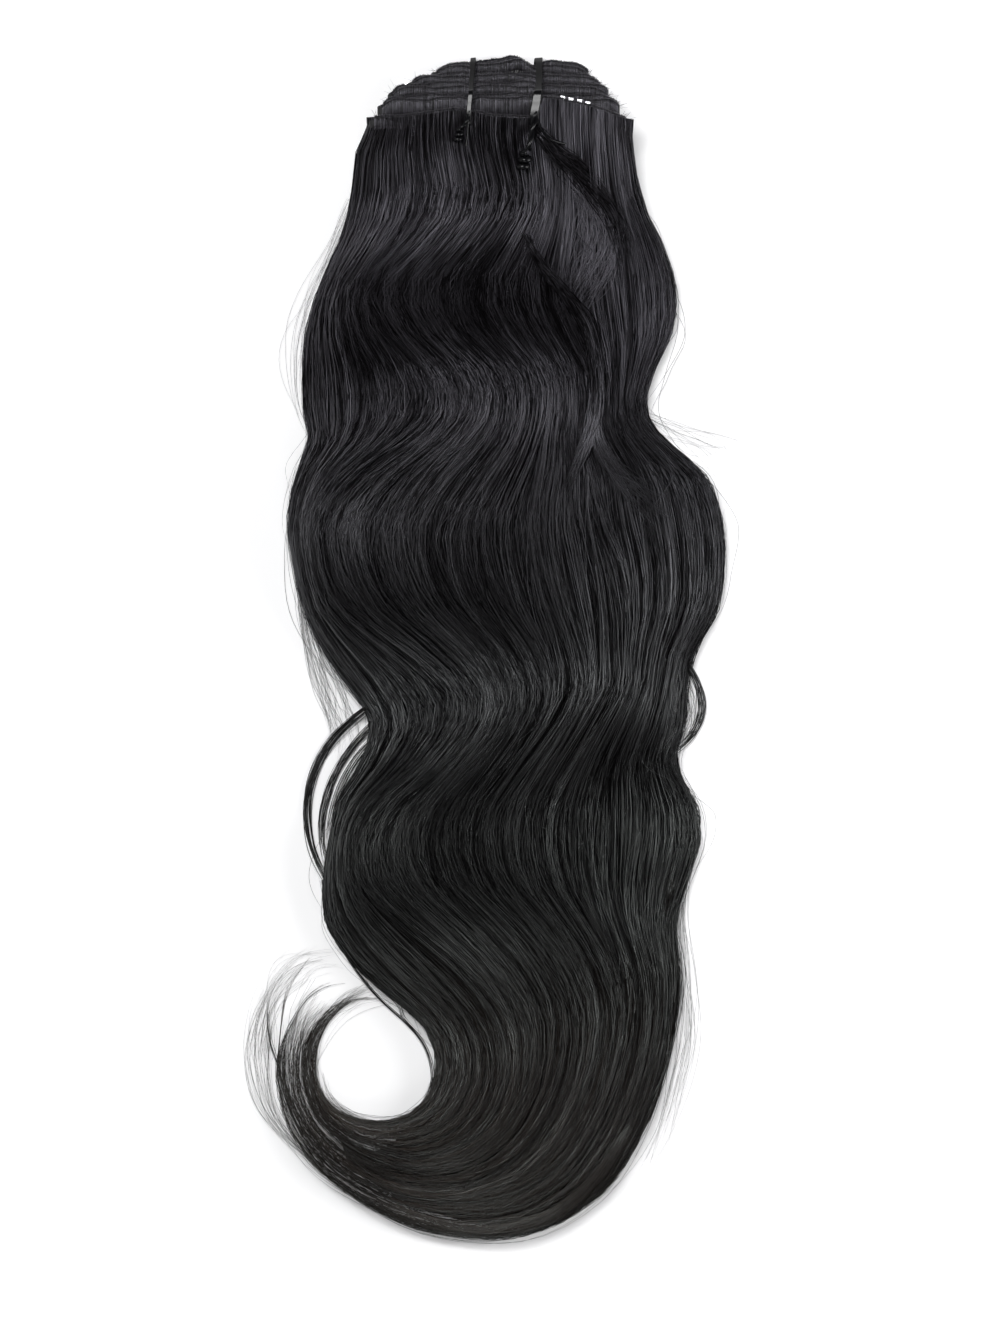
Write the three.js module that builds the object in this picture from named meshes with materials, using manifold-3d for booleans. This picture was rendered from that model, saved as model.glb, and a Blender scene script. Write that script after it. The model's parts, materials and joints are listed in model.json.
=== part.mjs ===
// A bundle of clip-in hair extensions, laid flat: five wefts of long wavy hair are stacked with their
// sewn bands stepped one behind the other, and two soft ties hold the bands together.
// Each weft is a band, folded in half, with its curtain of hair fused to it. Snap clips are sewn under
// the bands, and the hair ends in one open curl.
//
// Millimetres. +Z is up from the table, +Y runs along the hair towards the bands, and the origin lies
// on the table under the middle of the bundle's box.

import * as THREE from 'three';
import { mergeVertices } from 'three/addons/utils/BufferGeometryUtils.js';
import Module from 'manifold-3d';

const wasm = await Module();
wasm.setup();

// Driving sizes
const laidLength = 451;     // from the front band's edge to the lowest point of the curl
const pileWidth = 170;      // across the widest wave
const pileHeight = 26.4;    // from the table to the top of the hair
const bandWidth = 105;      // front band, folded in half
const bandHeight = 4.6;     // sewn band, from its edge down to the loose hair
const bandStep = 4.7;       // each band's edge shows this far above the one in front of it
const weftThickness = 4.4;  // both runs of a folded band
const foldGap = 0.8;        // between the two runs
const foldWall = 2.6;       // hair and band round the fold
const bandLift = 3.2;       // from the table to the underside of the lowest band
const weftGap = 0.3;        // between one weft and the next
const clearance = 0.3;      // round ties and clips
const lockDepth = 2.0;      // how far the furrows between locks sink into the top
const lockCount = 5;        // ridges across each weft
const bandRim = 0.4;        // each band stands in from the one under it by this much at its ends
const pileRim = 3.0;        // and each curtain of hair by this much at its sides
const thinnestEnd = 0.6;    // hair tips
const clip = { length: 22, height: 10.4, thickness: 0.9, frame: 2.2, teeth: 6, toothWidth: 1.9, toothLength: 2.4 };
const clipBelowBand = 2.2;  // from a band's foot down to its clips' teeth
const clipShowing = 2.2;    // how far the one raised clip stands past its band's edge
const tie = { thickness: 1.0, corner: 1.6, underside: 1.5, belowBand: 1.9, neckRadius: 0.9, tailRadius: 0.7 };

// The bands' ends and sag from the back of the stack to the front, as shares of bandWidth.
const bands = [
  { left: 0.244, right: 0.336, sag: 0.019 },
  { left: 0.336, right: 0.382, sag: 0.015 },
  { left: 0.408, right: 0.412, sag: 0.010 },
  { left: 0.447, right: 0.454, sag: 0.012 },
  { left: 0.500, right: 0.500, sag: 0.030 },
];

// Sections across the hair, from the bands to the tips. Each runs from its left edge to its right one:
// the x values are shares of pileWidth from the bands' middle, and the y values shares of laidLength
// down from the front band's edge. q1, q2 and q3 say where the strands that start at a quarter, a half
// and three quarters of the band lie on the section. top is a share of pileHeight, and wefts is how
// many layers of hair are left there.
const sections = [
  { leftX: -0.332, leftY: 0.035, rightX: 0.311, rightY: 0.035, q1: 0.26, q2: 0.52, q3: 0.77, top: 0.99, wefts: 5 },
  { leftX: -0.344, leftY: 0.080, rightX: 0.329, rightY: 0.080, q1: 0.25, q2: 0.51, q3: 0.79, top: 0.93, wefts: 5 },
  { leftX: -0.367, leftY: 0.115, rightX: 0.374, rightY: 0.115, q1: 0.20, q2: 0.47, q3: 0.78, top: 0.98, wefts: 5 },
  { leftX: -0.414, leftY: 0.155, rightX: 0.407, rightY: 0.155, q1: 0.20, q2: 0.46, q3: 0.74, top: 1.00, wefts: 5 },
  { leftX: -0.445, leftY: 0.195, rightX: 0.400, rightY: 0.195, q1: 0.25, q2: 0.50, q3: 0.74, top: 0.91, wefts: 5 },
  { leftX: -0.456, leftY: 0.232, rightX: 0.355, rightY: 0.232, q1: 0.30, q2: 0.56, q3: 0.81, top: 0.80, wefts: 5 },
  { leftX: -0.456, leftY: 0.266, rightX: 0.336, rightY: 0.266, q1: 0.32, q2: 0.58, q3: 0.84, top: 0.76, wefts: 5 },
  { leftX: -0.442, leftY: 0.293, rightX: 0.386, rightY: 0.293, q1: 0.26, q2: 0.53, q3: 0.78, top: 0.79, wefts: 5 },
  { leftX: -0.475, leftY: 0.324, rightX: 0.478, rightY: 0.324, q1: 0.19, q2: 0.46, q3: 0.73, top: 0.87, wefts: 5 },
  { leftX: -0.492, leftY: 0.363, rightX: 0.515, rightY: 0.363, q1: 0.14, q2: 0.40, q3: 0.74, top: 0.96, wefts: 5 },
  { leftX: -0.454, leftY: 0.443, rightX: 0.504, rightY: 0.443, q1: 0.14, q2: 0.40, q3: 0.75, top: 0.80, wefts: 5 },
  { leftX: -0.346, leftY: 0.514, rightX: 0.468, rightY: 0.514, q1: 0.24, q2: 0.45, q3: 0.71, top: 0.77, wefts: 5 },
  { leftX: -0.296, leftY: 0.545, rightX: 0.466, rightY: 0.545, q1: 0.19, q2: 0.40, q3: 0.67, top: 0.85, wefts: 5 },
  { leftX: -0.327, leftY: 0.581, rightX: 0.414, rightY: 0.581, q1: 0.18, q2: 0.39, q3: 0.67, top: 0.87, wefts: 5 },
  { leftX: -0.376, leftY: 0.612, rightX: 0.454, rightY: 0.612, q1: 0.16, q2: 0.35, q3: 0.64, top: 0.76, wefts: 5 },
  { leftX: -0.395, leftY: 0.647, rightX: 0.464, rightY: 0.647, q1: 0.16, q2: 0.36, q3: 0.65, top: 0.71, wefts: 5 },
  { leftX: -0.407, leftY: 0.687, rightX: 0.431, rightY: 0.687, q1: 0.23, q2: 0.44, q3: 0.71, top: 0.80, wefts: 5 },
  { leftX: -0.398, leftY: 0.723, rightX: 0.402, rightY: 0.723, q1: 0.33, q2: 0.53, q3: 0.79, top: 0.74, wefts: 5 },
  { leftX: -0.231, leftY: 0.792, rightX: 0.407, rightY: 0.798, q1: 0.33, q2: 0.54, q3: 0.79, top: 0.68, wefts: 5 },
  { leftX: -0.165, leftY: 0.816, rightX: 0.386, rightY: 0.845, q1: 0.31, q2: 0.52, q3: 0.77, top: 0.69, wefts: 5 },
  { leftX: -0.144, leftY: 0.848, rightX: 0.336, rightY: 0.902, q1: 0.30, q2: 0.51, q3: 0.76, top: 0.64, wefts: 4.8 },
  { leftX: -0.172, leftY: 0.880, rightX: 0.235, rightY: 0.961, q1: 0.28, q2: 0.50, q3: 0.75, top: 0.55, wefts: 4.4 },
  { leftX: -0.245, leftY: 0.896, rightX: 0.059, rightY: 0.997, q1: 0.27, q2: 0.50, q3: 0.75, top: 0.47, wefts: 3.8 },
  { leftX: -0.329, leftY: 0.896, rightX: -0.160, rightY: 0.994, q1: 0.26, q2: 0.50, q3: 0.75, top: 0.41, wefts: 3.1 },
  { leftX: -0.400, leftY: 0.884, rightX: -0.329, rightY: 0.966, q1: 0.25, q2: 0.50, q3: 0.75, top: 0.34, wefts: 2.4 },
  { leftX: -0.433, leftY: 0.860, rightX: -0.459, rightY: 0.925, q1: 0.25, q2: 0.50, q3: 0.75, top: 0.27, wefts: 1.8 },
  { leftX: -0.431, leftY: 0.829, rightX: -0.522, rightY: 0.873, q1: 0.25, q2: 0.50, q3: 0.75, top: 0.21, wefts: 1.3 },
  { leftX: -0.393, leftY: 0.801, rightX: -0.515, rightY: 0.817, q1: 0.25, q2: 0.50, q3: 0.75, top: 0.15, wefts: 1 },
];

// Locks that leave the lowest weft and lie beside it: points as shares of pileWidth and laidLength,
// and the radius at each point in millimetres.
const locks = {
  side: [
    { x: -0.320, y: 0.500, r: 1.6 },
    { x: -0.335, y: 0.545, r: 1.6 },
    { x: -0.405, y: 0.573, r: 1.8 },
    { x: -0.446, y: 0.612, r: 2.0 },
    { x: -0.445, y: 0.650, r: 1.8 },
    { x: -0.405, y: 0.695, r: 1.6 },
  ],
  curlInner: [
    { x: -0.430, y: 0.870, r: 1.6 },
    { x: -0.442, y: 0.842, r: 1.6 },
    { x: -0.433, y: 0.812, r: 1.5 },
    { x: -0.395, y: 0.787, r: 1.2 },
    { x: -0.330, y: 0.772, r: 0.9 },
  ],
  curlMiddle: [
    { x: -0.455, y: 0.835, r: 1.7 },
    { x: -0.458, y: 0.815, r: 1.7 },
    { x: -0.440, y: 0.790, r: 1.4 },
    { x: -0.395, y: 0.768, r: 0.9 },
  ],
  curlOuter: [
    { x: -0.490, y: 0.890, r: 1.5 },
    { x: -0.526, y: 0.860, r: 1.5 },
    { x: -0.532, y: 0.825, r: 1.3 },
    { x: -0.510, y: 0.788, r: 1.1 },
    { x: -0.455, y: 0.758, r: 0.8 },
  ],
};

const weftCount = bands.length;
const weftPitch = weftThickness + weftGap;
const stackTop = bandLift + weftCount * weftPitch - weftGap;

const hairMaterial = new THREE.MeshStandardMaterial({ color: 0x1b1a1c, roughness: 0.42, metalness: 0 });
const tieMaterial = new THREE.MeshStandardMaterial({ color: 0x2a2a2e, roughness: 0.35, metalness: 0 });
const clipMaterial = new THREE.MeshStandardMaterial({ color: 0xb8b8bc, roughness: 0.3, metalness: 1 });

// A closed geometry as a solid that can be cut and joined, and a solid as a geometry again.
function solidOf(geometry) {
  const bare = geometry.index ? geometry.toNonIndexed() : geometry.clone();
  bare.deleteAttribute('normal');
  bare.deleteAttribute('uv');
  const merged = mergeVertices(bare, 1e-4);
  const vertProperties = new Float32Array(merged.attributes.position.array);
  const triVerts = new Uint32Array(merged.index.array);
  return new wasm.Manifold(new wasm.Mesh({ numProp: 3, vertProperties, triVerts }));
}

function geometryOf(solid) {
  const { numVert, numProp, vertProperties, triVerts } = solid.getMesh();
  const positions = new Float32Array(numVert * 3);
  for (let i = 0; i < numVert; i++) {
    positions.set(vertProperties.subarray(i * numProp, i * numProp + 3), i * 3);
  }
  const geometry = new THREE.BufferGeometry();
  geometry.setAttribute('position', new THREE.BufferAttribute(positions, 3));
  geometry.setIndex(new THREE.BufferAttribute(triVerts, 1));
  geometry.computeVertexNormals();
  return geometry;
}

// Places in the plane of the table. Down is measured from the front band's edge.
const acrossAt = (share) => share * pileWidth;
const downAt = (share) => -share * laidLength;

// How a weft's height rises from the side of the pile: a thin edge, then its full thickness.
const sideShares = [0.5, 0.85, 1];
const sideShare = (columnsIn, square) => {
  const share = sideShares[Math.min(columnsIn, sideShares.length - 1)];
  return square + (1 - square) * share;
};

// Columns run across the hair: one for each weft's edge at either side, and two for each lock between.
const innerColumns = 2 * lockCount - 1;
const lastColumn = 2 * weftCount + innerColumns - 1;

// The share of the way across at which a column lies, when the pile's rim columns stand rim apart.
function columnShare(column, rim, width) {
  const fromSide = Math.min(column, lastColumn - column);
  const rimShare = rim / width;
  let share;
  if (fromSide < weftCount) {
    share = fromSide * rimShare;
    return column === fromSide ? share : 1 - share;
  }
  const inner = (weftCount - 1) * rimShare;
  share = (column - weftCount + 1) / (innerColumns + 1);
  return inner + share * (1 - 2 * inner);
}

// Where a strand that starts at share u of the band lies on a section: straight lines between q's.
function strandShare(section, u) {
  const marks = [0, section.q1, section.q2, section.q3, 1];
  const place = Math.min(u * 4, 3.9999);
  const from = Math.floor(place);
  return marks[from] + (place - from) * (marks[from + 1] - marks[from]);
}

// One row of the grid for each band's edge, one for the front band's foot, and one for each section.
function bandRow(index) {
  const { left, right, sag } = bands[index];
  const edge = (weftCount - 1 - index) * bandStep;
  const width = (left + right) * bandWidth;
  return {
    wefts: index + 1,
    lift: bandLift,
    square: 1,
    thickness: weftThickness,
    place(column) {
      const u = columnShare(column, bandRim, width);
      return [(-left + (left + right) * u) * bandWidth, edge - sag * bandWidth * (2 * u - 1) ** 2];
    },
  };
}

function footRow() {
  const row = bandRow(weftCount - 1);
  const { place } = row;
  row.place = (column) => {
    const [x, y] = place(column);
    return [x, y - bandHeight];
  };
  return row;
}

// The first section is still as square as the bands, so that clips lie flat in it.
const liftShares = [1, 0.35, 0.1];
const squareShares = [0.9, 0.4];

function sectionRow(section, index) {
  const left = new THREE.Vector2(acrossAt(section.leftX), downAt(section.leftY));
  const right = new THREE.Vector2(acrossAt(section.rightX), downAt(section.rightY));
  const width = left.distanceTo(right);
  const lift = bandLift * (liftShares[index] ?? 0);
  const square = squareShares[index] ?? 0;
  const rim = pileRim * Math.min(1, width / (0.5 * pileWidth));
  const gaps = (Math.ceil(section.wefts) - 1) * weftGap;
  return {
    wefts: section.wefts,
    lift,
    square,
    thickness: (section.top * pileHeight - lift - gaps) / section.wefts,
    place(column) {
      const u = columnShare(column, bandRim + (rim - bandRim) * (1 - square), width);
      const point = left.clone().lerp(right, strandShare(section, u));
      return [point.x, point.y];
    },
  };
}

const rows = [...bands.map((_, index) => bandRow(index)), footRow(), ...sections.map(sectionRow)];

// Height of the top of weft number weft (0 is the lowest) at a row and column.
function topOf(weft, row, column) {
  const fromSide = Math.min(column, lastColumn - column);
  let height = row.lift;
  for (let below = 0; below <= weft; below++) {
    const share = Math.min(1, Math.max(0, row.wefts - below));
    const layer = row.thickness * share * sideShare(Math.max(0, fromSide - below), row.square);
    height += Math.max(layer, thinnestEnd) + (below ? weftGap : 0);
  }
  const inFurrow = fromSide >= weftCount && (column - weftCount) % 2 === 0;
  const furrow = inFurrow ? lockDepth * (1 - row.square) * Math.min(1, row.thickness / weftThickness) : 0;
  return height - (furrow * (weft + 1)) / weftCount;
}

const undersideOf = (weft, row, column) => (weft ? topOf(weft - 1, row, column) + weftGap : row.lift);

// The closed surface of one weft: its top on the whole grid, its underside, and walls round the rim.
// The lowest weft is flat across underneath, so three columns are enough there.
function weftGeometry(weft) {
  const mine = rows.filter((row, index) => index >= weft && row.wefts > weft);
  const topColumns = Array.from({ length: lastColumn + 1 - 2 * weft }, (_, index) => weft + index);
  const undersideColumns = weft ? topColumns : [0, lastColumn / 2, lastColumn];
  const positions = [];
  const indices = [];
  const addSheet = (columns, heightOf) => {
    const first = positions.length / 3;
    for (const row of mine) {
      for (const column of columns) {
        positions.push(...row.place(column), heightOf(weft, row, column));
      }
    }
    return (row, place) => first + row * columns.length + place;
  };
  const top = addSheet(topColumns, topOf);
  const under = addSheet(undersideColumns, undersideOf);
  const quad = (a, b, c, d) => indices.push(a, b, c, a, c, d);
  const topSide = topColumns.length - 1;
  const underSide = undersideColumns.length - 1;
  for (let row = 0; row < mine.length - 1; row++) {
    for (let place = 0; place < topSide; place++) {
      quad(top(row + 1, place), top(row + 1, place + 1), top(row, place + 1), top(row, place));
    }
    // The underside is split along the same diagonal, with its corners the other way round.
    for (let place = 0; place < underSide; place++) {
      const [a, c] = [under(row + 1, place), under(row, place + 1)];
      indices.push(a, c, under(row + 1, place + 1), a, under(row, place), c);
    }
    quad(under(row, 0), under(row + 1, 0), top(row + 1, 0), top(row, 0));
    quad(under(row + 1, underSide), under(row, underSide), top(row, topSide), top(row + 1, topSide));
  }
  // End walls: a fan up to the top's columns from each of the underside's.
  for (const [row, turned] of [[0, true], [mine.length - 1, false]]) {
    const triangle = (a, b, c) => (turned ? indices.push(a, c, b) : indices.push(a, b, c));
    for (let place = 0; place < underSide; place++) {
      const from = topColumns.indexOf(undersideColumns[place]);
      const to = topColumns.indexOf(undersideColumns[place + 1]);
      triangle(under(row, place), under(row, place + 1), top(row, to));
      for (let column = from; column < to; column++) {
        triangle(under(row, place), top(row, column + 1), top(row, column));
      }
    }
  }
  const geometry = new THREE.BufferGeometry();
  geometry.setAttribute('position', new THREE.Float32BufferAttribute(positions, 3));
  geometry.setIndex(indices);
  return geometry;
}

// The slot between the two runs of a folded band. The fold is at the right on every other weft.
function foldSlot(weft) {
  const { left, right } = bands[weft];
  const edge = (weftCount - 1 - weft) * bandStep;
  const side = weft % 2 ? -1 : 1;
  const inner = side * ((side > 0 ? right : left) * bandWidth - foldWall);
  const outer = -side * bandWidth;
  const deep = 2 * bandHeight;
  const box = new THREE.BoxGeometry(Math.abs(inner - outer), deep, foldGap);
  const middle = bandLift + weft * weftPitch + weftThickness / 2;
  box.translate((inner + outer) / 2, edge - bandHeight + deep / 2, middle);
  return solidOf(box);
}

// A round-ended lock along a few points, thinner towards its ends, lying on the table.
function lockSolid(points) {
  const path = new THREE.CatmullRomCurve3(
    points.map(({ x, y, r }) => new THREE.Vector3(acrossAt(x), downAt(y), r)),
  );
  const sides = 6;
  const steps = 3 * (points.length - 1);
  const positions = [];
  const indices = [];
  for (let step = 0; step <= steps; step++) {
    const t = step / steps;
    const centre = path.getPoint(t);
    const along = path.getTangent(t).setZ(0).normalize();
    const outward = new THREE.Vector3(along.y, -along.x, 0);
    const place = t * (points.length - 1);
    const from = Math.min(Math.floor(place), points.length - 2);
    const radius = THREE.MathUtils.lerp(points[from].r, points[from + 1].r, place - from);
    for (let side = 0; side < sides; side++) {
      const angle = (2 * Math.PI * side) / sides;
      const out = outward.clone().multiplyScalar(radius * Math.cos(angle));
      positions.push(centre.x + out.x, centre.y + out.y, radius + radius * Math.sin(angle));
    }
  }
  for (let step = 0; step < steps; step++) {
    for (let side = 0; side < sides; side++) {
      const next = (side + 1) % sides;
      const [a, b] = [step * sides + side, step * sides + next];
      const [c, d] = [a + sides, b + sides];
      indices.push(a, d, b, a, c, d);
    }
  }
  for (let side = 1; side < sides - 1; side++) {
    indices.push(0, side, side + 1);
    indices.push(steps * sides, steps * sides + side + 1, steps * sides + side);
  }
  const geometry = new THREE.BufferGeometry();
  geometry.setAttribute('position', new THREE.Float32BufferAttribute(positions, 3));
  geometry.setIndex(indices);
  return solidOf(geometry);
}

// Snap clips: a flat frame with comb teeth along its upper edge.
function clipGeometry() {
  const { length, height, thickness, frame, teeth, toothWidth, toothLength } = clip;
  const outline = new THREE.Shape();
  const shoulder = height - toothLength;
  outline.moveTo(-length / 2, 0);
  outline.lineTo(length / 2, 0);
  outline.lineTo(length / 2, shoulder);
  const pitch = (length - toothWidth) / (teeth - 1);
  for (let tooth = teeth - 1; tooth >= 0; tooth--) {
    const x = -length / 2 + toothWidth / 2 + tooth * pitch;
    if (tooth < teeth - 1) outline.lineTo(x + toothWidth / 2, shoulder);
    outline.lineTo(x + toothWidth / 2, height);
    outline.lineTo(x - toothWidth / 2, height);
    if (tooth > 0) outline.lineTo(x - toothWidth / 2, shoulder);
  }
  outline.closePath();
  const window = new THREE.Path();
  window.moveTo(-length / 2 + frame, frame);
  window.lineTo(-length / 2 + frame, shoulder - frame);
  window.lineTo(length / 2 - frame, shoulder - frame);
  window.lineTo(length / 2 - frame, frame);
  window.closePath();
  outline.holes.push(window);
  const geometry = new THREE.ExtrudeGeometry(outline, { depth: thickness, bevelEnabled: false });
  return geometry.translate(0, -height, -thickness / 2);
}

// Each weft carries two clips under its band, at shares of bandWidth from its middle. The front weft's
// right clip sits higher and is turned by some degrees, so that its teeth show past the band.
const clipAcross = { left: -0.26, right: 0.275 };
const raisedClip = { weft: weftCount - 1, side: 'right', turn: -10 };

function clipPlaces() {
  const places = [];
  for (let weft = 0; weft < weftCount; weft++) {
    const edge = (weftCount - 1 - weft) * bandStep;
    const z = bandLift + weft * weftPitch - (weft ? weftGap / 2 : clearance + clip.thickness / 2);
    for (const side of ['left', 'right']) {
      const raised = weft === raisedClip.weft && side === raisedClip.side;
      places.push({
        name: `clip_${weft + 1}_${side}`,
        x: clipAcross[side] * bandWidth,
        y: edge + (raised ? clipShowing : -bandHeight - clipBelowBand),
        z,
        turn: raised ? raisedClip.turn : 0,
      });
    }
  }
  return places;
}

// Ties: a strap that runs under the stack, up behind the back band, over the stepped bands and down
// through the hair below the front band.
const strapPath = [
  [(weftCount - 1) * bandStep, tie.underside],
  [(weftCount - 1) * bandStep, bandLift + weftPitch],
  [0, stackTop],
  [-bandHeight - tie.belowBand, stackTop],
  [-bandHeight - tie.belowBand, tie.underside],
];

// The corners of that loop, which runs anticlockwise, moved outwards by a distance.
function grown(corners, distance) {
  return corners.map((corner, index) => {
    const before = corners[(index + corners.length - 1) % corners.length];
    const after = corners[(index + 1) % corners.length];
    const [m, n] = [[before, corner], [corner, after]].map(([a, b]) => {
      const length = Math.hypot(b[0] - a[0], b[1] - a[1]);
      return [(b[1] - a[1]) / length, (a[0] - b[0]) / length];
    });
    const scale = distance / (1 + m[0] * n[0] + m[1] * n[1]);
    return [corner[0] + (m[0] + n[0]) * scale, corner[1] + (m[1] + n[1]) * scale];
  });
}

function roundedLoop(path, corners, radius) {
  corners.forEach((corner, index) => {
    const before = corners[(index + corners.length - 1) % corners.length];
    const after = corners[(index + 1) % corners.length];
    const towards = (other) => {
      const length = Math.hypot(other[0] - corner[0], other[1] - corner[1]);
      return [0, 1].map((axis) => corner[axis] + ((other[axis] - corner[axis]) * radius) / length);
    };
    const start = towards(before);
    if (index === 0) path.moveTo(...start);
    else path.lineTo(...start);
    path.quadraticCurveTo(...corner, ...towards(after));
  });
  path.closePath();
  return path;
}

function strapGeometry(x, strapWidth, spare) {
  const outward = clearance + tie.thickness + spare;
  const outer = roundedLoop(new THREE.Shape(), grown(strapPath, outward), tie.corner + spare);
  outer.holes.push(roundedLoop(new THREE.Path(), grown(strapPath, clearance - spare), tie.corner));
  const width = strapWidth + 2 * spare;
  const geometry = new THREE.ExtrudeGeometry(outer, { depth: width, bevelEnabled: false, curveSegments: 3 });
  // The outline's x and y become Y and Z, and the strap's width runs along X.
  geometry.applyMatrix4(new THREE.Matrix4().makeBasis(
    new THREE.Vector3(0, 1, 0), new THREE.Vector3(0, 0, 1), new THREE.Vector3(1, 0, 0),
  ));
  return geometry.translate(x - width / 2, 0, 0);
}

// A wound knot: turns of strap round an axis along Y, as one turned body with a groove between turns.
const grooveShare = 0.68;

function knotGeometry({ radius, turns, turnLength }) {
  const profile = [new THREE.Vector2(0, 0)];
  const pointsPerTurn = 3;
  for (let step = 0; step <= turns * pointsPerTurn; step++) {
    const bulge = Math.abs(Math.sin((Math.PI * step) / pointsPerTurn));
    const out = radius * (grooveShare + (1 - grooveShare) * bulge);
    profile.push(new THREE.Vector2(out, (step / pointsPerTurn) * turnLength));
  }
  profile.push(new THREE.Vector2(0, turns * turnLength));
  return new THREE.LatheGeometry(profile, 8);
}

// A round cord through a few points.
function cordGeometry(points, radius, steps) {
  const section = new THREE.Shape();
  section.absarc(0, 0, radius, 0, 2 * Math.PI);
  const path = new THREE.CatmullRomCurve3(points.map((point) => new THREE.Vector3(...point)));
  return new THREE.ExtrudeGeometry(section, { steps, extrudePath: path, curveSegments: 4, bevelEnabled: false });
}

// Where each tie's strap crosses the bands, as a share of bandWidth, and its loose ends. The knot and the
// tail lie on the front hair, and their places are in millimetres from the strap's lower front corner.
const ties = [
  {
    name: 'tie_left', x: -0.112, width: 2.4,
    knot: { radius: 1.5, turns: 2, turnLength: 2.3, x: -3.0, y: -3.2 },
    tail: [{ x: -0.6, y: -8.6 }, { x: -0.9, y: -13.4 }],
  },
  {
    name: 'tie_right', x: 0.140, width: 3.8,
    knot: { radius: 3.3, turns: 3, turnLength: 3.1, x: -3.0, y: -8.9 },
    tail: [{ x: 3.0, y: -3.2 }, { x: 7.2, y: -6.6 }, { x: 13.2, y: -8.4 }],
  },
];

function tieSolid({ x, width, knot, tail }) {
  const centre = x * bandWidth;
  const front = strapPath[3][0];
  const top = stackTop + clearance;
  const heading = Math.atan2(-knot.y, -knot.x) - Math.PI / 2;
  const knotBody = knotGeometry(knot).rotateX(Math.PI).rotateZ(heading);
  knotBody.translate(centre + knot.x, front + knot.y, top + knot.radius);
  const towardsKnot = (share, z) => [centre + knot.x * share, front + knot.y * share, z];
  const start = [centre, front + tie.corner / 2, top + tie.thickness / 2];
  const neckPoints = [
    start,
    towardsKnot(0.5, top + tie.neckRadius),
    towardsKnot(1.1, top + knot.radius),
  ];
  const tailPoints = [start, ...tail.map((point) => [centre + point.x, front + point.y, top + tie.tailRadius])];
  const pieces = [
    knotBody,
    cordGeometry(neckPoints, tie.neckRadius, 5),
    cordGeometry(tailPoints, tie.tailRadius, 6),
  ];
  const strap = solidOf(strapGeometry(centre, width, 0));
  return pieces.reduce((solid, piece) => solid.add(solidOf(piece)), strap);
}

// Assembly
const bundle = new THREE.Group();

function addMesh(name, geometry, material) {
  const mesh = new THREE.Mesh(geometry, material);
  mesh.name = name;
  bundle.add(mesh);
  return mesh;
}

const clipShape = clipGeometry();
const cuts = ties.map(({ x, width }) => solidOf(strapGeometry(x * bandWidth, width, clearance)));
for (const { name, x, y, z, turn } of clipPlaces()) {
  const mesh = addMesh(name, clipShape, clipMaterial);
  mesh.position.set(x, y, z);
  mesh.rotation.z = THREE.MathUtils.degToRad(turn);
  mesh.updateMatrix();
  const room = new THREE.BoxGeometry(
    clip.length + 2 * clearance, clip.height + 2 * clearance, clip.thickness + 2 * clearance,
  );
  room.translate(0, -clip.height / 2, 0).applyMatrix4(mesh.matrix);
  cuts.push(solidOf(room));
}

for (let weft = 0; weft < weftCount; weft++) {
  let solid = solidOf(weftGeometry(weft)).subtract(foldSlot(weft));
  if (weft === 0) {
    solid = Object.values(locks).reduce((joined, points) => joined.add(lockSolid(points)), solid);
  }
  solid = cuts.reduce((left, cut) => left.subtract(cut), solid);
  addMesh(`weft_${weft + 1}`, geometryOf(solid), hairMaterial);
}

for (const each of ties) {
  addMesh(each.name, geometryOf(tieSolid(each)), tieMaterial);
}

// The origin goes under the middle of the whole bundle.
const box = new THREE.Box3().setFromObject(bundle);
const middle = box.getCenter(new THREE.Vector3());
bundle.position.set(-middle.x, -middle.y, -box.min.z);

export default bundle;
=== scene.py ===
# %% [markdown]
# # A bundle of clip-in hair extensions
# Five wefts of long wavy hair are folded in half, stacked, tied near their sewn bands and laid flat.
# The CAD model gives the frame: five curtains of hair, ten snap clips and two ties, at their real size.
# This script dresses that frame. Everything here is worked out in millimetres from the middle of the
# front band's edge, because that is where the hair starts, and is turned into metres once, at the end.

# %% Load the frame
import json

import bpy
import numpy as np
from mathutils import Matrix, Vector

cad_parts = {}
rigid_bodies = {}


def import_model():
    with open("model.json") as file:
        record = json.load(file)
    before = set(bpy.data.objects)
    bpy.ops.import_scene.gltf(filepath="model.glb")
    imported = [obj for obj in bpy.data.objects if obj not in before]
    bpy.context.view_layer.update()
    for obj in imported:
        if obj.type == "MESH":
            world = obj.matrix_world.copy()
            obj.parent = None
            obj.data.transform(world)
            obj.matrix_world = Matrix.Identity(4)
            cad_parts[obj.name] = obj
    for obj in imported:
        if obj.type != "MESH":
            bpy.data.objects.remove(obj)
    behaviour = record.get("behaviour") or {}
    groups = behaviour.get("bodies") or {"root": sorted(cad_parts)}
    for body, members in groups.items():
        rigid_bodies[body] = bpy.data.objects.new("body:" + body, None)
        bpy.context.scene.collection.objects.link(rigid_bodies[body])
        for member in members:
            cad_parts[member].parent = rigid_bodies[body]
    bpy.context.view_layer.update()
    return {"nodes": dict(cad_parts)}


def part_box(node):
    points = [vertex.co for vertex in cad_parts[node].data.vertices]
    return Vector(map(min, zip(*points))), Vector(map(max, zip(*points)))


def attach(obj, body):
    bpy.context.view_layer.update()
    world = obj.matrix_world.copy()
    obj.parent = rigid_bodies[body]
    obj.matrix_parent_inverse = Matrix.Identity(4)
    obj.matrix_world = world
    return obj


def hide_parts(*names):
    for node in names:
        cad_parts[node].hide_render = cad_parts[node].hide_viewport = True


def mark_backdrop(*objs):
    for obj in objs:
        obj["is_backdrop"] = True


for leftover in list(bpy.data.objects):
    bpy.data.objects.remove(leftover)
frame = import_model()
BODY = "root"
WEFTS = ["weft_1", "weft_2", "weft_3", "weft_4", "weft_5"]

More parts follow.
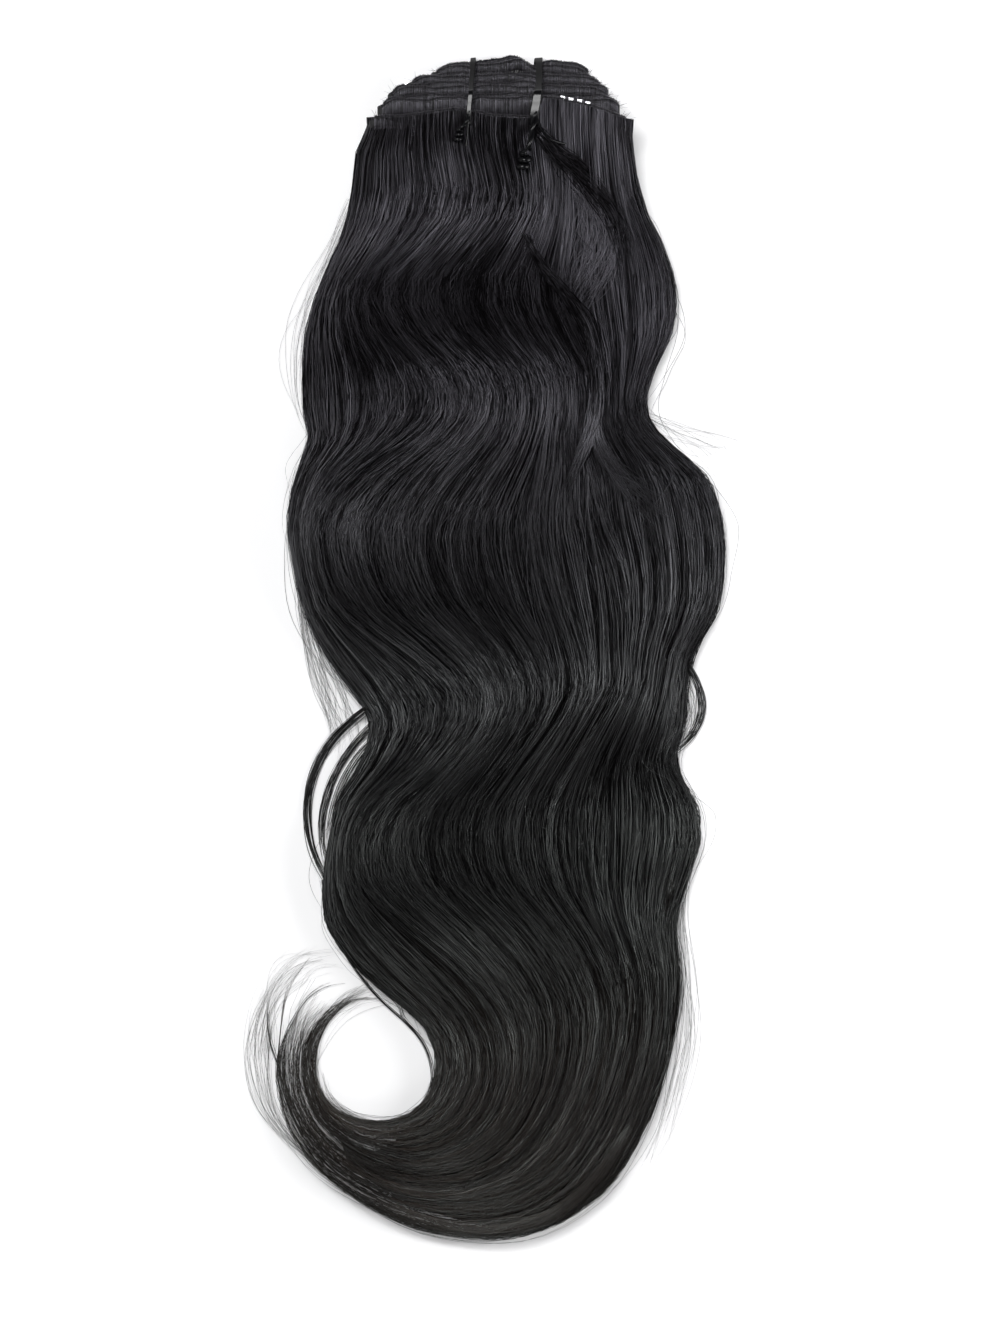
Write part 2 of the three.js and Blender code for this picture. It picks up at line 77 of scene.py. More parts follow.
# %% [markdown]
# ## The sizes that the hair follows
# The camera looks straight down, so the photograph gives every place across the table. The frame gives
# the rest: the top weft's box tells how high the pile is and where the front band's edge lies, and the
# lowest pair of clips tells where the middle of the bands is.

# %% Driving sizes, in millimetres
MM = 0.001
BAND_WIDTH = 105.0       # the front band, folded in half
PILE_WIDTH = 170.0       # across the widest wave
LAID_LENGTH = 451.0      # from the front band's edge to the lowest point of the curl
CLIP_ACROSS = -0.26      # the left clips' place, as a share of BAND_WIDTH

top_low, top_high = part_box("weft_5")
clip_low, clip_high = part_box("clip_1_left")
PILE_HEIGHT = top_high.z / MM
ORIGIN = np.array([
    (clip_low.x + clip_high.x) / 2 / MM - CLIP_ACROSS * BAND_WIDTH,
    top_high.y / MM,
    0.0,
])
print("pile height:", round(PILE_HEIGHT, 2), "mm, bands' middle at", ORIGIN.round(2))


# %% [markdown]
# ## Colours
# Colours are written as the hex values that a paint program shows, and Blender's sockets want linear
# light, so one function turns one into the other. A second small function adds a node with its settings
# and links, which keeps every material to a few lines.

# %% Helpers for colours and nodes
def linear(code, alpha=1.0):
    """sRGB hex, such as "1b1a1c", to the linear colour that a socket takes."""
    parts = [int(code[i:i + 2], 16) / 255 for i in (0, 2, 4)]
    return [c / 12.92 if c <= 0.04045 else ((c + 0.055) / 1.055) ** 2.4 for c in parts] + [alpha]


def add(tree, kind, links=None, values=None, **settings):
    """Adds one node. links gives an output for an input, values a number or colour for an input."""
    node = tree.nodes.new(kind)
    for name, value in settings.items():
        setattr(node, name, value)
    for name, value in (values or {}).items():
        node.inputs[name].default_value = value
    for name, output in (links or {}).items():
        tree.links.new(output, node.inputs[name])
    return node


def new_material(name):
    """A material with its own empty tree and an output, ready for a Principled shader."""
    material = bpy.data.materials.new(name)
    material.use_nodes = True
    tree = material.node_tree
    tree.nodes.clear()
    return material, tree, add(tree, "ShaderNodeOutputMaterial")


# %% [markdown]
# ## Hair as a material
# The real thing is black human hair, boiled into waves and coated with silicone. The coat gives it a
# soft, broad sheen, and each strand is a slightly different black. The ends are older and have turned
# brown. Each strand carries two numbers, tone and tip, and the material turns them into colour. A
# smooth dielectric has an IOR of 1.55, which is right for hair.

# %% Black hair, silicone coated, brown at the tips
STREAKS = (400, 14, 1)       # one patch of noise a strand, and a new one every 30 mm along it
STREAK_CONTRAST = 0.4
LEAST_SHINE = 0.05
WORN_BROWN = "4a3f38"
SHEEN_AT_TIPS, SHEEN_AT_BANDS = "f3faf6", "f3f0ff"
SHEEN_CHANGES = (-0.08, 0.12)    # where the change starts and ends, in metres along Y


def hair_material(name, dark, light, roughness, most_shine):
    """Hair whose colour and shine follow each strand's tone and tip."""
    material, tree, output = new_material(name)
    tone = add(tree, "ShaderNodeAttribute", attribute_name="tone")
    tip = add(tree, "ShaderNodeAttribute", attribute_name="tip")
    place = add(tree, "ShaderNodeUVMap", uv_map="OFBake")
    stretched = add(tree, "ShaderNodeMapping", {"Vector": place.outputs["UV"]}, {"Scale": STREAKS})
    noise = add(tree, "ShaderNodeTexNoise", {"Vector": stretched.outputs["Vector"]}, {"Scale": 1.0})
    streak = add(
        tree, "ShaderNodeMapRange", {"Value": noise.outputs["Fac"]},
        {"From Min": 0.3, "From Max": 0.7, "To Min": -STREAK_CONTRAST, "To Max": STREAK_CONTRAST},
    )
    uneven = add(
        tree, "ShaderNodeMath", {0: tone.outputs["Fac"], 1: streak.outputs["Result"]},
        operation="ADD", use_clamp=True,
    )
    black = add(tree, "ShaderNodeMix", {"Factor": uneven.outputs["Value"]}, data_type="RGBA")
    black.inputs["A"].default_value = linear(dark)
    black.inputs["B"].default_value = linear(light)
    brown = add(
        tree, "ShaderNodeMix", {"Factor": tip.outputs["Fac"], "A": black.outputs["Result"]},
        data_type="RGBA",
    )
    brown.inputs["B"].default_value = linear(WORN_BROWN)
    shine = add(
        tree, "ShaderNodeMapRange", {"Value": uneven.outputs["Value"]},
        {"To Min": LEAST_SHINE, "To Max": most_shine},
    )
    # Near the bands the sheen is slightly violet.
    spot = add(tree, "ShaderNodeTexCoord")
    axes = add(tree, "ShaderNodeSeparateXYZ", {"Vector": spot.outputs["Object"]})
    upper = add(
        tree, "ShaderNodeMapRange", {"Value": axes.outputs["Y"]},
        {"From Min": SHEEN_CHANGES[0], "From Max": SHEEN_CHANGES[1]},
    )
    tint = add(tree, "ShaderNodeMix", {"Factor": upper.outputs["Result"]}, data_type="RGBA")
    tint.inputs["A"].default_value = linear(SHEEN_AT_TIPS)
    tint.inputs["B"].default_value = linear(SHEEN_AT_BANDS)
    shader = add(
        tree, "ShaderNodeBsdfPrincipled",
        {"Base Color": brown.outputs["Result"], "Specular IOR Level": shine.outputs["Result"],
         "Specular Tint": tint.outputs["Result"]},
        {"Roughness": roughness, "IOR": 1.55},
    )
    tree.links.new(shader.outputs["BSDF"], output.inputs["Surface"])
    return material


HAIR = hair_material("black_hair_silicone_coated", "070607", "161416", 0.34, 1.05)
UNDER_HAIR = hair_material("black_hair_in_shade", "040404", "080709", 0.6, 0.2)
print("hair:", HAIR.name, "and", UNDER_HAIR.name)


# %% [markdown]
# ## The other finishes
# The bands are black polyester tape with polyester thread, the ties are glossy black vinyl, and the
# clips are stamped spring steel, brushed along their length. Each is a Principled shader with the
# values of the real material; the tape gets a fine weave as a bump at its real pitch.

# %% Tape, thread, vinyl and steel
def plain_material(name, colour, roughness, metallic=0.0, bump=None, specular=0.5):
    """One even finish. bump gives the scale and the height of a fine relief."""
    material, tree, output = new_material(name)
    shader = add(
        tree, "ShaderNodeBsdfPrincipled",
        values={"Base Color": linear(colour), "Roughness": roughness, "Metallic": metallic,
                "Specular IOR Level": specular},
    )
    if bump:
        scale, size = bump
        place = add(tree, "ShaderNodeTexCoord")
        stretched = add(
            tree, "ShaderNodeMapping", {"Vector": place.outputs["Object"]}, {"Scale": scale},
        )
        noise = add(tree, "ShaderNodeTexNoise", {"Vector": stretched.outputs["Vector"]}, {"Scale": 1.0})
        relief = add(tree, "ShaderNodeBump", {"Height": noise.outputs["Fac"]}, {"Distance": size})
        tree.links.new(relief.outputs["Normal"], shader.inputs["Normal"])
    tree.links.new(shader.outputs["BSDF"], output.inputs["Surface"])
    return material


TAPE = plain_material("black_polyester_tape", "0d0c0e", 0.7, bump=((2500, 2500, 2500), 0.0001))
THREAD = plain_material("black_polyester_thread", "1d1c1f", 0.5)
VINYL = plain_material("glossy_black_vinyl", "0a0a0c", 0.20, specular=0.22)
VINYL_BACK = plain_material("matte_back_of_vinyl", "0b0b0c", 0.6, specular=0.15)
STEEL = plain_material("brushed_spring_steel", "d3d3d6", 0.26, 1.0, ((300, 9000, 300), 0.00002))

for name, node in frame["nodes"].items():
    if name.startswith("clip"):
        node.data.materials.clear()
        node.data.materials.append(STEEL)
print("finishes:", [finish.name for finish in (TAPE, THREAD, VINYL, VINYL_BACK, STEEL)])

# %% [markdown]
# ## Where the strands run
# Every strand follows one map of the whole bundle. Each row of the table is a section across the hair,
# from its left edge to its right one, and the q columns say where the strands that start at a quarter, a
# half and three quarters of the band lie on it. Waves that push the strands to one side are waves of
# these columns. The CAD model is lofted through much the same rows, so outline and strands agree. The
# last two rows lie past the CAD's end: only loose tips reach them.

# %% Sections across the hair
LEFT, RIGHT, QUARTERS, TOP = slice(0, 2), slice(2, 4), slice(4, 7), 7    # where the columns stand
SECTIONS = [
    # leftX, leftY, rightX, rightY, q1, q2, q3, top
    (-0.309, 0.002, 0.309, 0.002, 0.25, 0.50, 0.75, 1.000),
    (-0.311, 0.014, 0.309, 0.014, 0.25, 0.50, 0.75, 0.970),
    (-0.332, 0.035, 0.311, 0.035, 0.28, 0.52, 0.76, 0.925),
    (-0.344, 0.080, 0.329, 0.080, 0.31, 0.55, 0.75, 0.900),
    (-0.367, 0.115, 0.374, 0.115, 0.24, 0.46, 0.70, 0.925),
    (-0.414, 0.155, 0.407, 0.155, 0.15, 0.38, 0.67, 0.870),
    (-0.445, 0.195, 0.400, 0.195, 0.21, 0.44, 0.73, 0.810),
    (-0.456, 0.232, 0.355, 0.232, 0.34, 0.59, 0.83, 0.785),
    (-0.456, 0.266, 0.336, 0.266, 0.37, 0.62, 0.85, 0.825),
    (-0.442, 0.293, 0.386, 0.293, 0.26, 0.55, 0.79, 0.840),
    (-0.475, 0.324, 0.478, 0.324, 0.14, 0.45, 0.75, 0.810),
    (-0.492, 0.363, 0.515, 0.363, 0.08, 0.38, 0.74, 0.840),
    (-0.478, 0.403, 0.520, 0.403, 0.07, 0.37, 0.76, 0.800),
    (-0.454, 0.443, 0.504, 0.443, 0.10, 0.41, 0.78, 0.750),
    (-0.409, 0.479, 0.450, 0.479, 0.21, 0.50, 0.81, 0.730),
    (-0.346, 0.514, 0.430, 0.514, 0.29, 0.52, 0.81, 0.745),
    (-0.296, 0.545, 0.425, 0.545, 0.25, 0.46, 0.74, 0.740),
    (-0.327, 0.581, 0.405, 0.581, 0.19, 0.40, 0.70, 0.700),
    (-0.376, 0.612, 0.454, 0.612, 0.11, 0.33, 0.63, 0.670),
    (-0.395, 0.647, 0.464, 0.647, 0.07, 0.31, 0.62, 0.690),
    (-0.407, 0.687, 0.431, 0.687, 0.11, 0.37, 0.67, 0.655),
    (-0.398, 0.723, 0.402, 0.723, 0.22, 0.50, 0.76, 0.665),
    (-0.329, 0.761, 0.412, 0.758, 0.30, 0.55, 0.79, 0.715),
    (-0.231, 0.792, 0.407, 0.798, 0.31, 0.56, 0.80, 0.730),
    (-0.165, 0.816, 0.386, 0.845, 0.30, 0.54, 0.78, 0.730),
    (-0.144, 0.848, 0.336, 0.902, 0.30, 0.52, 0.76, 0.710),
    (-0.172, 0.880, 0.235, 0.961, 0.28, 0.50, 0.75, 0.640),
    (-0.245, 0.896, 0.059, 0.997, 0.27, 0.50, 0.75, 0.550),
    (-0.329, 0.896, -0.160, 0.994, 0.26, 0.50, 0.75, 0.460),
    (-0.400, 0.884, -0.329, 0.966, 0.25, 0.50, 0.75, 0.370),
    (-0.433, 0.860, -0.459, 0.925, 0.25, 0.50, 0.75, 0.300),
    (-0.431, 0.829, -0.522, 0.873, 0.25, 0.50, 0.75, 0.220),
    (-0.393, 0.801, -0.515, 0.817, 0.25, 0.50, 0.75, 0.150),
    (-0.330, 0.786, -0.500, 0.778, 0.25, 0.50, 0.75, 0.110),
    (-0.262, 0.790, -0.440, 0.748, 0.25, 0.50, 0.75, 0.080),
]
TABLE = np.array(SECTIONS)
SCALE = np.array([PILE_WIDTH, -LAID_LENGTH])
LAST_ROW = len(SECTIONS) - 1
CAD_END = LAST_ROW - 2
print("sections:", len(SECTIONS))


# %% [markdown]
# The table is read between its rows with a Catmull-Rom curve, which passes through every row smoothly.
# Loose locks and the ties' straps use the same curve later, so it is a helper of its own.

# %% Reading the map
def ramp(x, low, high):
    """0 below low, 1 above high, and a smooth step between."""
    s = np.clip((x - low) / (high - low), 0, 1)
    return s * s * (3 - 2 * s)


def curve_between(before, here, after, past, f):
    """The Catmull-Rom curve from here, at f = 0, to after, at f = 1."""
    square = 2 * before - 5 * here + 4 * after - past
    cubic = 3 * (here - after) + past - before
    return here + 0.5 * f * (after - before + f * (square + f * cubic))


def section_at(row):
    """The table's columns at any rows, as an array with one more axis of eight."""
    row = np.clip(row, 0, LAST_ROW)
    i = np.minimum(row.astype(int), LAST_ROW - 1)
    neighbours = (TABLE[np.clip(i + k, 0, LAST_ROW)] for k in (-1, 0, 1, 2))
    return curve_between(*neighbours, (row - i)[..., None])


print("section between rows 11 and 12:", section_at(np.array([11.5])).round(3))

# %% [markdown]
# A real pile isn't even: locks bulge here and sink there. Soft round spots are enough for that, each with a
# middle, two radii and a height, and their sum is added to the pile's height. Spots of the same kind later
# make the strands' tone lighter and shinier or darker: painted sheen and painted shade.

# %% Hills and hollows
SWELLS = [
    # x, y, radiusX, radiusY, height: soft hills and hollows on the pile, in millimetres
    (42.0, -15.0, 16.0, 11.0, 3.1),
    (12.0, -28.0, 12.0, 12.0, -1.2),
    (30.0, -74.0, 10.0, 14.0, 1.6),
    (4.0, -62.0, 20.0, 14.0, -1.0),
    (-44.0, -66.0, 13.0, 14.0, 1.0),
    (62.0, -235.0, 12.0, 14.0, 1.2),
    (-55.0, -116.0, 20.0, 16.0, -2.8),
    (-60.0, -178.0, 18.0, 14.0, 2.4),
    (48.0, -120.0, 16.0, 14.0, -1.0),
    (-50.0, -272.0, 18.0, 12.0, -0.8),
    (-50.0, -308.0, 18.0, 14.0, 2.0),
    (55.0, -284.0, 16.0, 12.0, -0.9),
    (-35.0, -362.0, 18.0, 16.0, 1.4),
    (50.0, -352.0, 16.0, 16.0, -1.6),
]


def soft_spots(flat, spots):
    """Sum of soft round spots at flat places."""
    total = 0
    for x, y, rx, ry, size in spots:
        total = total + size * np.exp(-((flat[..., 0] - x) / rx) ** 2 - ((flat[..., 1] - y) / ry) ** 2)
    return total


print("hills and hollows:", len(SWELLS))

# %% [markdown]
# Across the pile a strand keeps its place on a rounded section: up one side, over the top and down the
# other side. That place runs from 0 at the left foot to 1 at the right foot, by length, so strands that
# are spaced evenly in it are spaced evenly in the hair. At the bands the pile is still a block.

# %% Round the pile
SIDE_ROUND, TOP_ROUND = 0.42, 0.85    # lower is squarer, at the sides and on the top
BLOCK_ROWS = 4.0                      # the block at the bands turns round within these rows
BLOCK_SHARE = 0.97
LOWEST = 0.25                         # of any strand's middle above the table, in millimetres


def rounded_section(count=400):
    """Place across u, height share and outward normal at evenly spaced places round the pile."""
    angle = np.pi * (1 - np.linspace(0, 1, 4 * count))
    across = 0.5 + 0.5 * np.sign(np.cos(angle)) * np.abs(np.cos(angle)) ** SIDE_ROUND
    height = np.sin(angle) ** TOP_ROUND
    x, z = across * 0.85 * PILE_WIDTH, height * 0.8 * PILE_HEIGHT
    length = np.concatenate([[0], np.cumsum(np.hypot(np.diff(x), np.diff(z)))])
    even = np.linspace(0, length[-1], count)
    across, height, x, z = (np.interp(even, length, v) for v in (across, height, x, z))
    dx, dz = np.gradient(x), np.gradient(z)
    size = np.hypot(dx, dz)
    return np.linspace(0, 1, count), across, height, -dz / size, dx / size


PLACE, ACROSS, HEIGHT, OUT_X, OUT_Z = rounded_section()


def on_pile(place, row, out=0.0):
    """Points of the hair at places round the pile and rows along it, lifted off its surface by out."""
    here = section_at(row)
    left, right = here[..., LEFT] * SCALE, here[..., RIGHT] * SCALE
    u = np.interp(place, PLACE, ACROSS)
    marks = [np.zeros_like(u), *np.moveaxis(here[..., QUARTERS], -1, 0), np.ones_like(u)]
    quarter = np.minimum((u * 4).astype(int), 3)
    low = np.choose(quarter, marks[:4])
    high = np.choose(quarter, marks[1:])
    share = low + (u * 4 - quarter) * (high - low)
    along = right - left
    width = np.linalg.norm(along, axis=-1, keepdims=True)
    flat = left + along * share[..., None]
    flat = flat + along / width * (out * np.interp(place, PLACE, OUT_X))[..., None]
    square = 1 - BLOCK_SHARE * (1 - ramp(row, 0.0, BLOCK_ROWS))
    height = np.interp(place, PLACE, HEIGHT) ** square
    height = height * (here[..., TOP] * PILE_HEIGHT + soft_spots(flat, SWELLS))
    height = height + out * np.interp(place, PLACE, OUT_Z)
    return np.concatenate([flat, np.maximum(height, LOWEST)[..., None]], axis=-1)


# %% [markdown]
# Loose locks cross the others, so they need the pile's height under any place on the table. The map is
# sampled densely once, and the nearest sample answers.

# %% Height of the pile under any place
AT_ONCE = 400        # places that are compared with all samples in one step
BESIDE = 2.0         # a place further than this from every sample lies beside the pile, in millimetres


def shares_from_left(share, row):
    """Flat places at straight shares of the sections."""
    here = section_at(row)
    left, right = here[..., LEFT] * SCALE, here[..., RIGHT] * SCALE
    return left * (1 - share)[..., None] + right * share[..., None]


share_grid, row_grid = np.meshgrid(np.linspace(0, 1, 61), np.linspace(0, CAD_END, 330))
FLAT_GRID = shares_from_left(share_grid, row_grid).reshape(-1, 2)
HEIGHT_GRID = np.interp(share_grid, ACROSS, HEIGHT).ravel() * (
    section_at(row_grid)[..., TOP].ravel() * PILE_HEIGHT + soft_spots(FLAT_GRID, SWELLS)
)


def pile_height(flat):
    """Height of the pile's top under flat places, and 0 beside the pile."""
    places = flat.reshape(-1, 2)
    height = np.zeros(len(places))
    for start in range(0, len(places), AT_ONCE):
        near = places[start:start + AT_ONCE]
        distance = ((near[:, None, :] - FLAT_GRID[None, :, :]) ** 2).sum(axis=-1)
        best = distance.argmin(axis=1)
        inside = distance[np.arange(len(near)), best] < BESIDE**2
        height[start:start + AT_ONCE] = np.where(inside, HEIGHT_GRID[best], 0.0)
    return height.reshape(flat.shape[:-1])


# %% [markdown]
# ## Meshes from arrays
# Blender builds a mesh fastest from whole arrays. Places are in millimetres from the bands' middle, so
# this is the one spot where they move to the frame's origin and turn into metres.

# %% Mesh helpers
def mesh_object(name, points, faces=(), edges=(), material=None, smooth=True):
    """A mesh object at the origin from points in millimetres and index arrays."""
    mesh = bpy.data.meshes.new(name)
    mesh.from_pydata(((points + ORIGIN) * MM).tolist(), [list(e) for e in edges], [list(f) for f in faces])
    if material:
        mesh.materials.append(material)
    if smooth and len(faces):
        mesh.polygons.foreach_set("use_smooth", np.ones(len(mesh.polygons), dtype=bool))
    obj = bpy.data.objects.new(name, mesh)
    bpy.context.scene.collection.objects.link(obj)
    return obj


def point_attribute(obj, name, values):
    """Writes one number for each vertex."""
    attribute = obj.data.attributes.new(name, "FLOAT", "POINT")
    attribute.data.foreach_set("value", np.asarray(values, dtype=np.float32).ravel())


def grid_faces(rows, columns, closed=False):
    """Quads between neighbouring rows and columns; closed joins the last column to the first."""
    i, j = np.meshgrid(np.arange(rows - 1), np.arange(columns if closed else columns - 1), indexing="ij")
    k = (j + 1) % columns
    here, after = i * columns, (i + 1) * columns
    quads = np.stack([here + j, after + j, after + k, here + k], axis=-1)
    return quads.reshape(-1, 4)


def uv_from_grid(obj, rows, columns):
    """A UV map for a grid of vertices; vertices after the grid keep the last place."""
    layer = obj.data.uv_layers.new(name="OFBake")
    vertex = np.zeros(len(obj.data.loops), dtype=np.int32)
    obj.data.loops.foreach_get("vertex_index", vertex)
    vertex = np.minimum(vertex, rows * columns - 1)
    uv = np.stack([(vertex % columns) / columns, (vertex // columns) / rows], axis=-1)
    layer.data.foreach_set("uv", uv.astype(np.float32).ravel())


# %% [markdown]
# ## Strands
# A strand is a tube that gets thinner towards its end. There are thousands, and each has its own path,
# which suits Geometry Nodes well: the script writes only the paths, as edges with a thickness at each
# point, and the tree turns them into curves and sweeps a small circle along them. Three sides are enough
# for something half a millimetre wide, because smooth shading rounds them off.

# %% Geometry Nodes tree that sweeps strands
def sweep_tree():
    """Edges in; out come tubes with a UV map, smooth shading and one material."""
    tree = bpy.data.node_groups.new("sweep_strands", "GeometryNodeTree")
    face = tree.interface
    face.new_socket("Geometry", in_out="INPUT", socket_type="NodeSocketGeometry")
    face.new_socket("Sides", in_out="INPUT", socket_type="NodeSocketInt").default_value = 3
    face.new_socket("Material", in_out="INPUT", socket_type="NodeSocketMaterial")
    face.new_socket("Geometry", in_out="OUTPUT", socket_type="NodeSocketGeometry")
    given = add(tree, "NodeGroupInput").outputs
    along, column, thickness = (
        add(tree, "GeometryNodeInputNamedAttribute", values={"Name": name}, data_type="FLOAT")
        for name in ("along", "column", "thickness")
    )
    curve = add(tree, "GeometryNodeMeshToCurve", {"Mesh": given["Geometry"]})
    circle = add(tree, "GeometryNodeCurvePrimitiveCircle", {"Resolution": given["Sides"]}, {"Radius": 1.0})
    swept = add(
        tree, "GeometryNodeCurveToMesh",
        {"Curve": curve.outputs["Curve"], "Profile Curve": circle.outputs["Curve"],
         "Scale": thickness.outputs["Attribute"]},
        {"Fill Caps": True},
    )
    uv = add(
        tree, "ShaderNodeCombineXYZ", {"X": column.outputs["Attribute"], "Y": along.outputs["Attribute"]},
    )
    stored = add(
        tree, "GeometryNodeStoreNamedAttribute",
        {"Geometry": swept.outputs["Mesh"], "Value": uv.outputs["Vector"]},
        {"Name": "OFBake"}, data_type="FLOAT2", domain="CORNER",
    )
    smooth = add(tree, "GeometryNodeSetShadeSmooth", {"Geometry": stored.outputs["Geometry"]})
    real = add(tree, "GeometryNodeRealizeInstances", {"Geometry": smooth.outputs["Geometry"]})
    painted = add(
        tree, "GeometryNodeSetMaterial",
        {"Geometry": real.outputs["Geometry"], "Material": given["Material"]},
    )
    add(tree, "NodeGroupOutput", {"Geometry": painted.outputs["Geometry"]})
    return tree


SWEEP = sweep_tree()
print("tree:", SWEEP.name, "with", len(SWEEP.nodes), "nodes")

# %% [markdown]
# The tree's result is kept as a plain mesh, so that the finished object carries no modifier. A strand is
# given by its path and by its thickness, its tone and how brown its tip is.

# %% From paths to one mesh
def apply_tree(source, tree, inputs):
    """Runs a tree on an object, keeps the result as a plain mesh, and leaves no modifier behind."""
    modifier = source.modifiers.new(tree.name, "NODES")
    modifier.node_group = tree
    ids = {item.name: item.identifier for item in tree.interface.items_tree if item.in_out == "INPUT"}
    for name, value in inputs.items():
        modifier[ids[name]] = value
    depsgraph = bpy.context.evaluated_depsgraph_get()
    evaluated = source.evaluated_get(depsgraph)
    mesh = bpy.data.meshes.new_from_object(evaluated, preserve_all_data_layers=True, depsgraph=depsgraph)
    mesh.name = source.name
    source.modifiers.clear()
    old = source.data
    source.data = mesh
    bpy.data.meshes.remove(old)
    return source


def strands(name, paths, thickness, tone, tip, material=HAIR, sides=3):
    """Sweeps strands along paths (strand, point, xyz), and gives one mesh object."""
    count, points = paths.shape[:2]
    first = np.arange(count)[:, None] * points
    steps = first + np.arange(points - 1)
    edges = np.stack([steps, steps + 1], axis=-1).reshape(-1, 2)
    obj = mesh_object(name, paths.reshape(-1, 3), edges=edges)
    shape = (count, points)
    along = np.broadcast_to(np.linspace(0, 1, points), shape)
    column = np.broadcast_to(((np.arange(count) + 0.5) / count)[:, None], shape)
    numbers = {"thickness": thickness * MM, "tone": tone, "tip": tip, "along": along, "column": column}
    for key, value in numbers.items():
        point_attribute(obj, key, np.broadcast_to(value, shape))
    apply_tree(obj, SWEEP, {"Sides": sides, "Material": material})
    print(name, "strands:", count, "faces:", len(obj.data.polygons))
    return obj


def show(obj):
    """Every finished piece rides on the one body."""
    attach(obj, BODY)
    return obj


# %% [markdown]
# Guides are short lists of places. A curve through them gives the course of a lock or a cord, and a
# running average takes the steps out of a height that was looked up.

# %% Curves through places
def spline(points, count):
    """A Catmull-Rom curve through points."""
    points = np.asarray(points, dtype=float)
    at = np.linspace(0, len(points) - 1, count)
    i = np.minimum(at.astype(int), len(points) - 2)
    neighbours = (points[np.clip(i + k, 0, len(points) - 1)] for k in (-1, 0, 1, 2))
    return curve_between(*neighbours, (at - i)[:, None])


def smoothed(values, times):
    """Averages values with their neighbours along the second axis, and keeps both ends."""
    for _ in range(times):
        inside = (values[:, :-2] + values[:, 1:-1] + values[:, 2:]) / 3
        values = np.concatenate([values[:, :1], inside, values[:, -1:]], axis=1)
    return values


# %% [markdown]
# ## Random, but the same every time
# Hair needs disorder at every size. One generator with a fixed seed gives all of it, and drift makes the
# slow kind: a smooth curve along the strand, summed from a few waves.

# %% Seeded disorder
rng = np.random.default_rng(20)


def drift(count, t, waves, size):
    """Smooth random curves over t, one for each of count, with a typical size."""
    total = 0
    for wave in waves:
        phase = rng.uniform(0, 2 * np.pi, (count, 1))
        total = total + rng.normal(0, 1, (count, 1)) * np.sin(2 * np.pi * wave * t + phase)
    return size * total / np.sqrt(len(waves) / 2)


# %% [markdown]
# ## The dark inside of the pile
# Between the locks one looks into dark hair. A plain closed body, a little smaller than the pile, gives
# that depth, so that no light comes through from the table. It is drawn on the same map as the strands.

# %% Inner body
BODY_ROWS, BODY_AROUND = 170, 84
BODY_END = CAD_END - 3.0     # past this row the hair is sheer
NARROWS = 3.0                # rows before its end over which the body narrows
SHY_OF_BAND = 3.6            # the body starts this far behind the front band's edge, in millimetres


def inner_body():
    """A closed body, a little inside the strands."""
    rows, around = BODY_ROWS, BODY_AROUND
    row = np.linspace(0.0, BODY_END, rows)[:, None]
    place = np.linspace(0, 1, around)[None, :]
    row, place = np.broadcast_arrays(row, place)
    # Towards the tips the body narrows, so that the hair gets sheer at its edges first.
    place = 0.5 + (place - 0.5) * (1 - 0.75 * ramp(row, BODY_END - NARROWS, BODY_END))
    inset = -1.4 * ramp(row, 1.5, 4) - 1.2
    inset = np.maximum(inset, -0.3 * section_at(row)[..., TOP] * PILE_HEIGHT)
    points = on_pile(place, row, inset)
    points[..., 1] -= SHY_OF_BAND * (1 - ramp(row, 0.3, 2.5))
    faces = [list(f) for f in grid_faces(rows, around)]
    # The underside is one strip from foot to foot, and each end is one face.
    for i in range(rows - 1):
        a, b = i * around, (i + 1) * around
        faces.append([a, a + around - 1, b + around - 1, b])
    faces.append(list(range(around))[::-1])
    last = (rows - 1) * around
    faces.append(list(range(last, last + around)))
    obj = mesh_object("hair_body", points.reshape(-1, 3), faces, material=UNDER_HAIR)
    point_attribute(obj, "tone", rng.uniform(0.2, 0.8, rows * around))
    point_attribute(obj, "tip", ramp(row, CAD_END - 6, CAD_END) * 0.5)
    obj.data.flip_normals()
    uv_from_grid(obj, rows, around)
    return obj


body = inner_body()
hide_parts(*WEFTS)
show(body)
print("body:", len(body.data.polygons), "faces")

# %% [markdown]
# ## The sewn bands
# Each weft's band is a narrow tape, folded in half like a hairpin: its upper run shows, and its lower
# run, which is never laid exactly under it, shows a little beyond. Hair loops over the edge every half
# millimetre and a lockstitch holds it. The bands lie on one another like stairs, the longest in front.

# %% Bands, back to front
FRONT_EDGE_X = (-52.5, -40, -27, -18, -12, -3, 9, 12, 14.5, 17, 23.5, 36.5, 41.5, 49.5, 52.5)
FRONT_EDGE_Y = (-2.8, -2.8, -1.2, 0.2, -0.2, -2.4, -3.2, -3.0, 2.0, 5.0, 4.3, 1.4, -0.4, -3.0, -3.6)
BANDS = [
    # left, right, edge, sag, top, in millimetres
    (25.6, 35.3, 18.8, 2.0, 7.6),
    (35.3, 40.1, 14.1, 1.6, 12.3),
    (42.8, 43.3, 9.4, 1.0, 17.0),
    (46.9, 47.7, 4.7, 1.2, 21.7),
    (50.2, 50.2, 0.0, 0.0, 26.4),
]
TIES = (-11.8, 14.7)
FRONT = len(BANDS) - 1
SECOND_RUN = (1.5, 1.3, 1.6, 1.4, 0.2)
RUN_THICKNESS = 1.9
RUN_PITCH = RUN_THICKNESS + 0.25
TAPE_TOP = 0.6               # how far a tape's upper side lies under its top in BANDS
TAPE_WIDTHS = (4.4, 4.4, 4.4, 8.8, 4.4)
END_ROUND = 7.0
RIPPLES = ((0.30, 31.0), (0.22, 17.0), (0.12, 8.3))      # size and wave
PINCH, PINCH_WIDTH = -0.7, 2.2                           # size and width of each tie's dent
BACK_BENDS = ((-1.6, 13.0, 3.0), (1.2, 6.0, 5.0))        # size, place and width, on the last band only


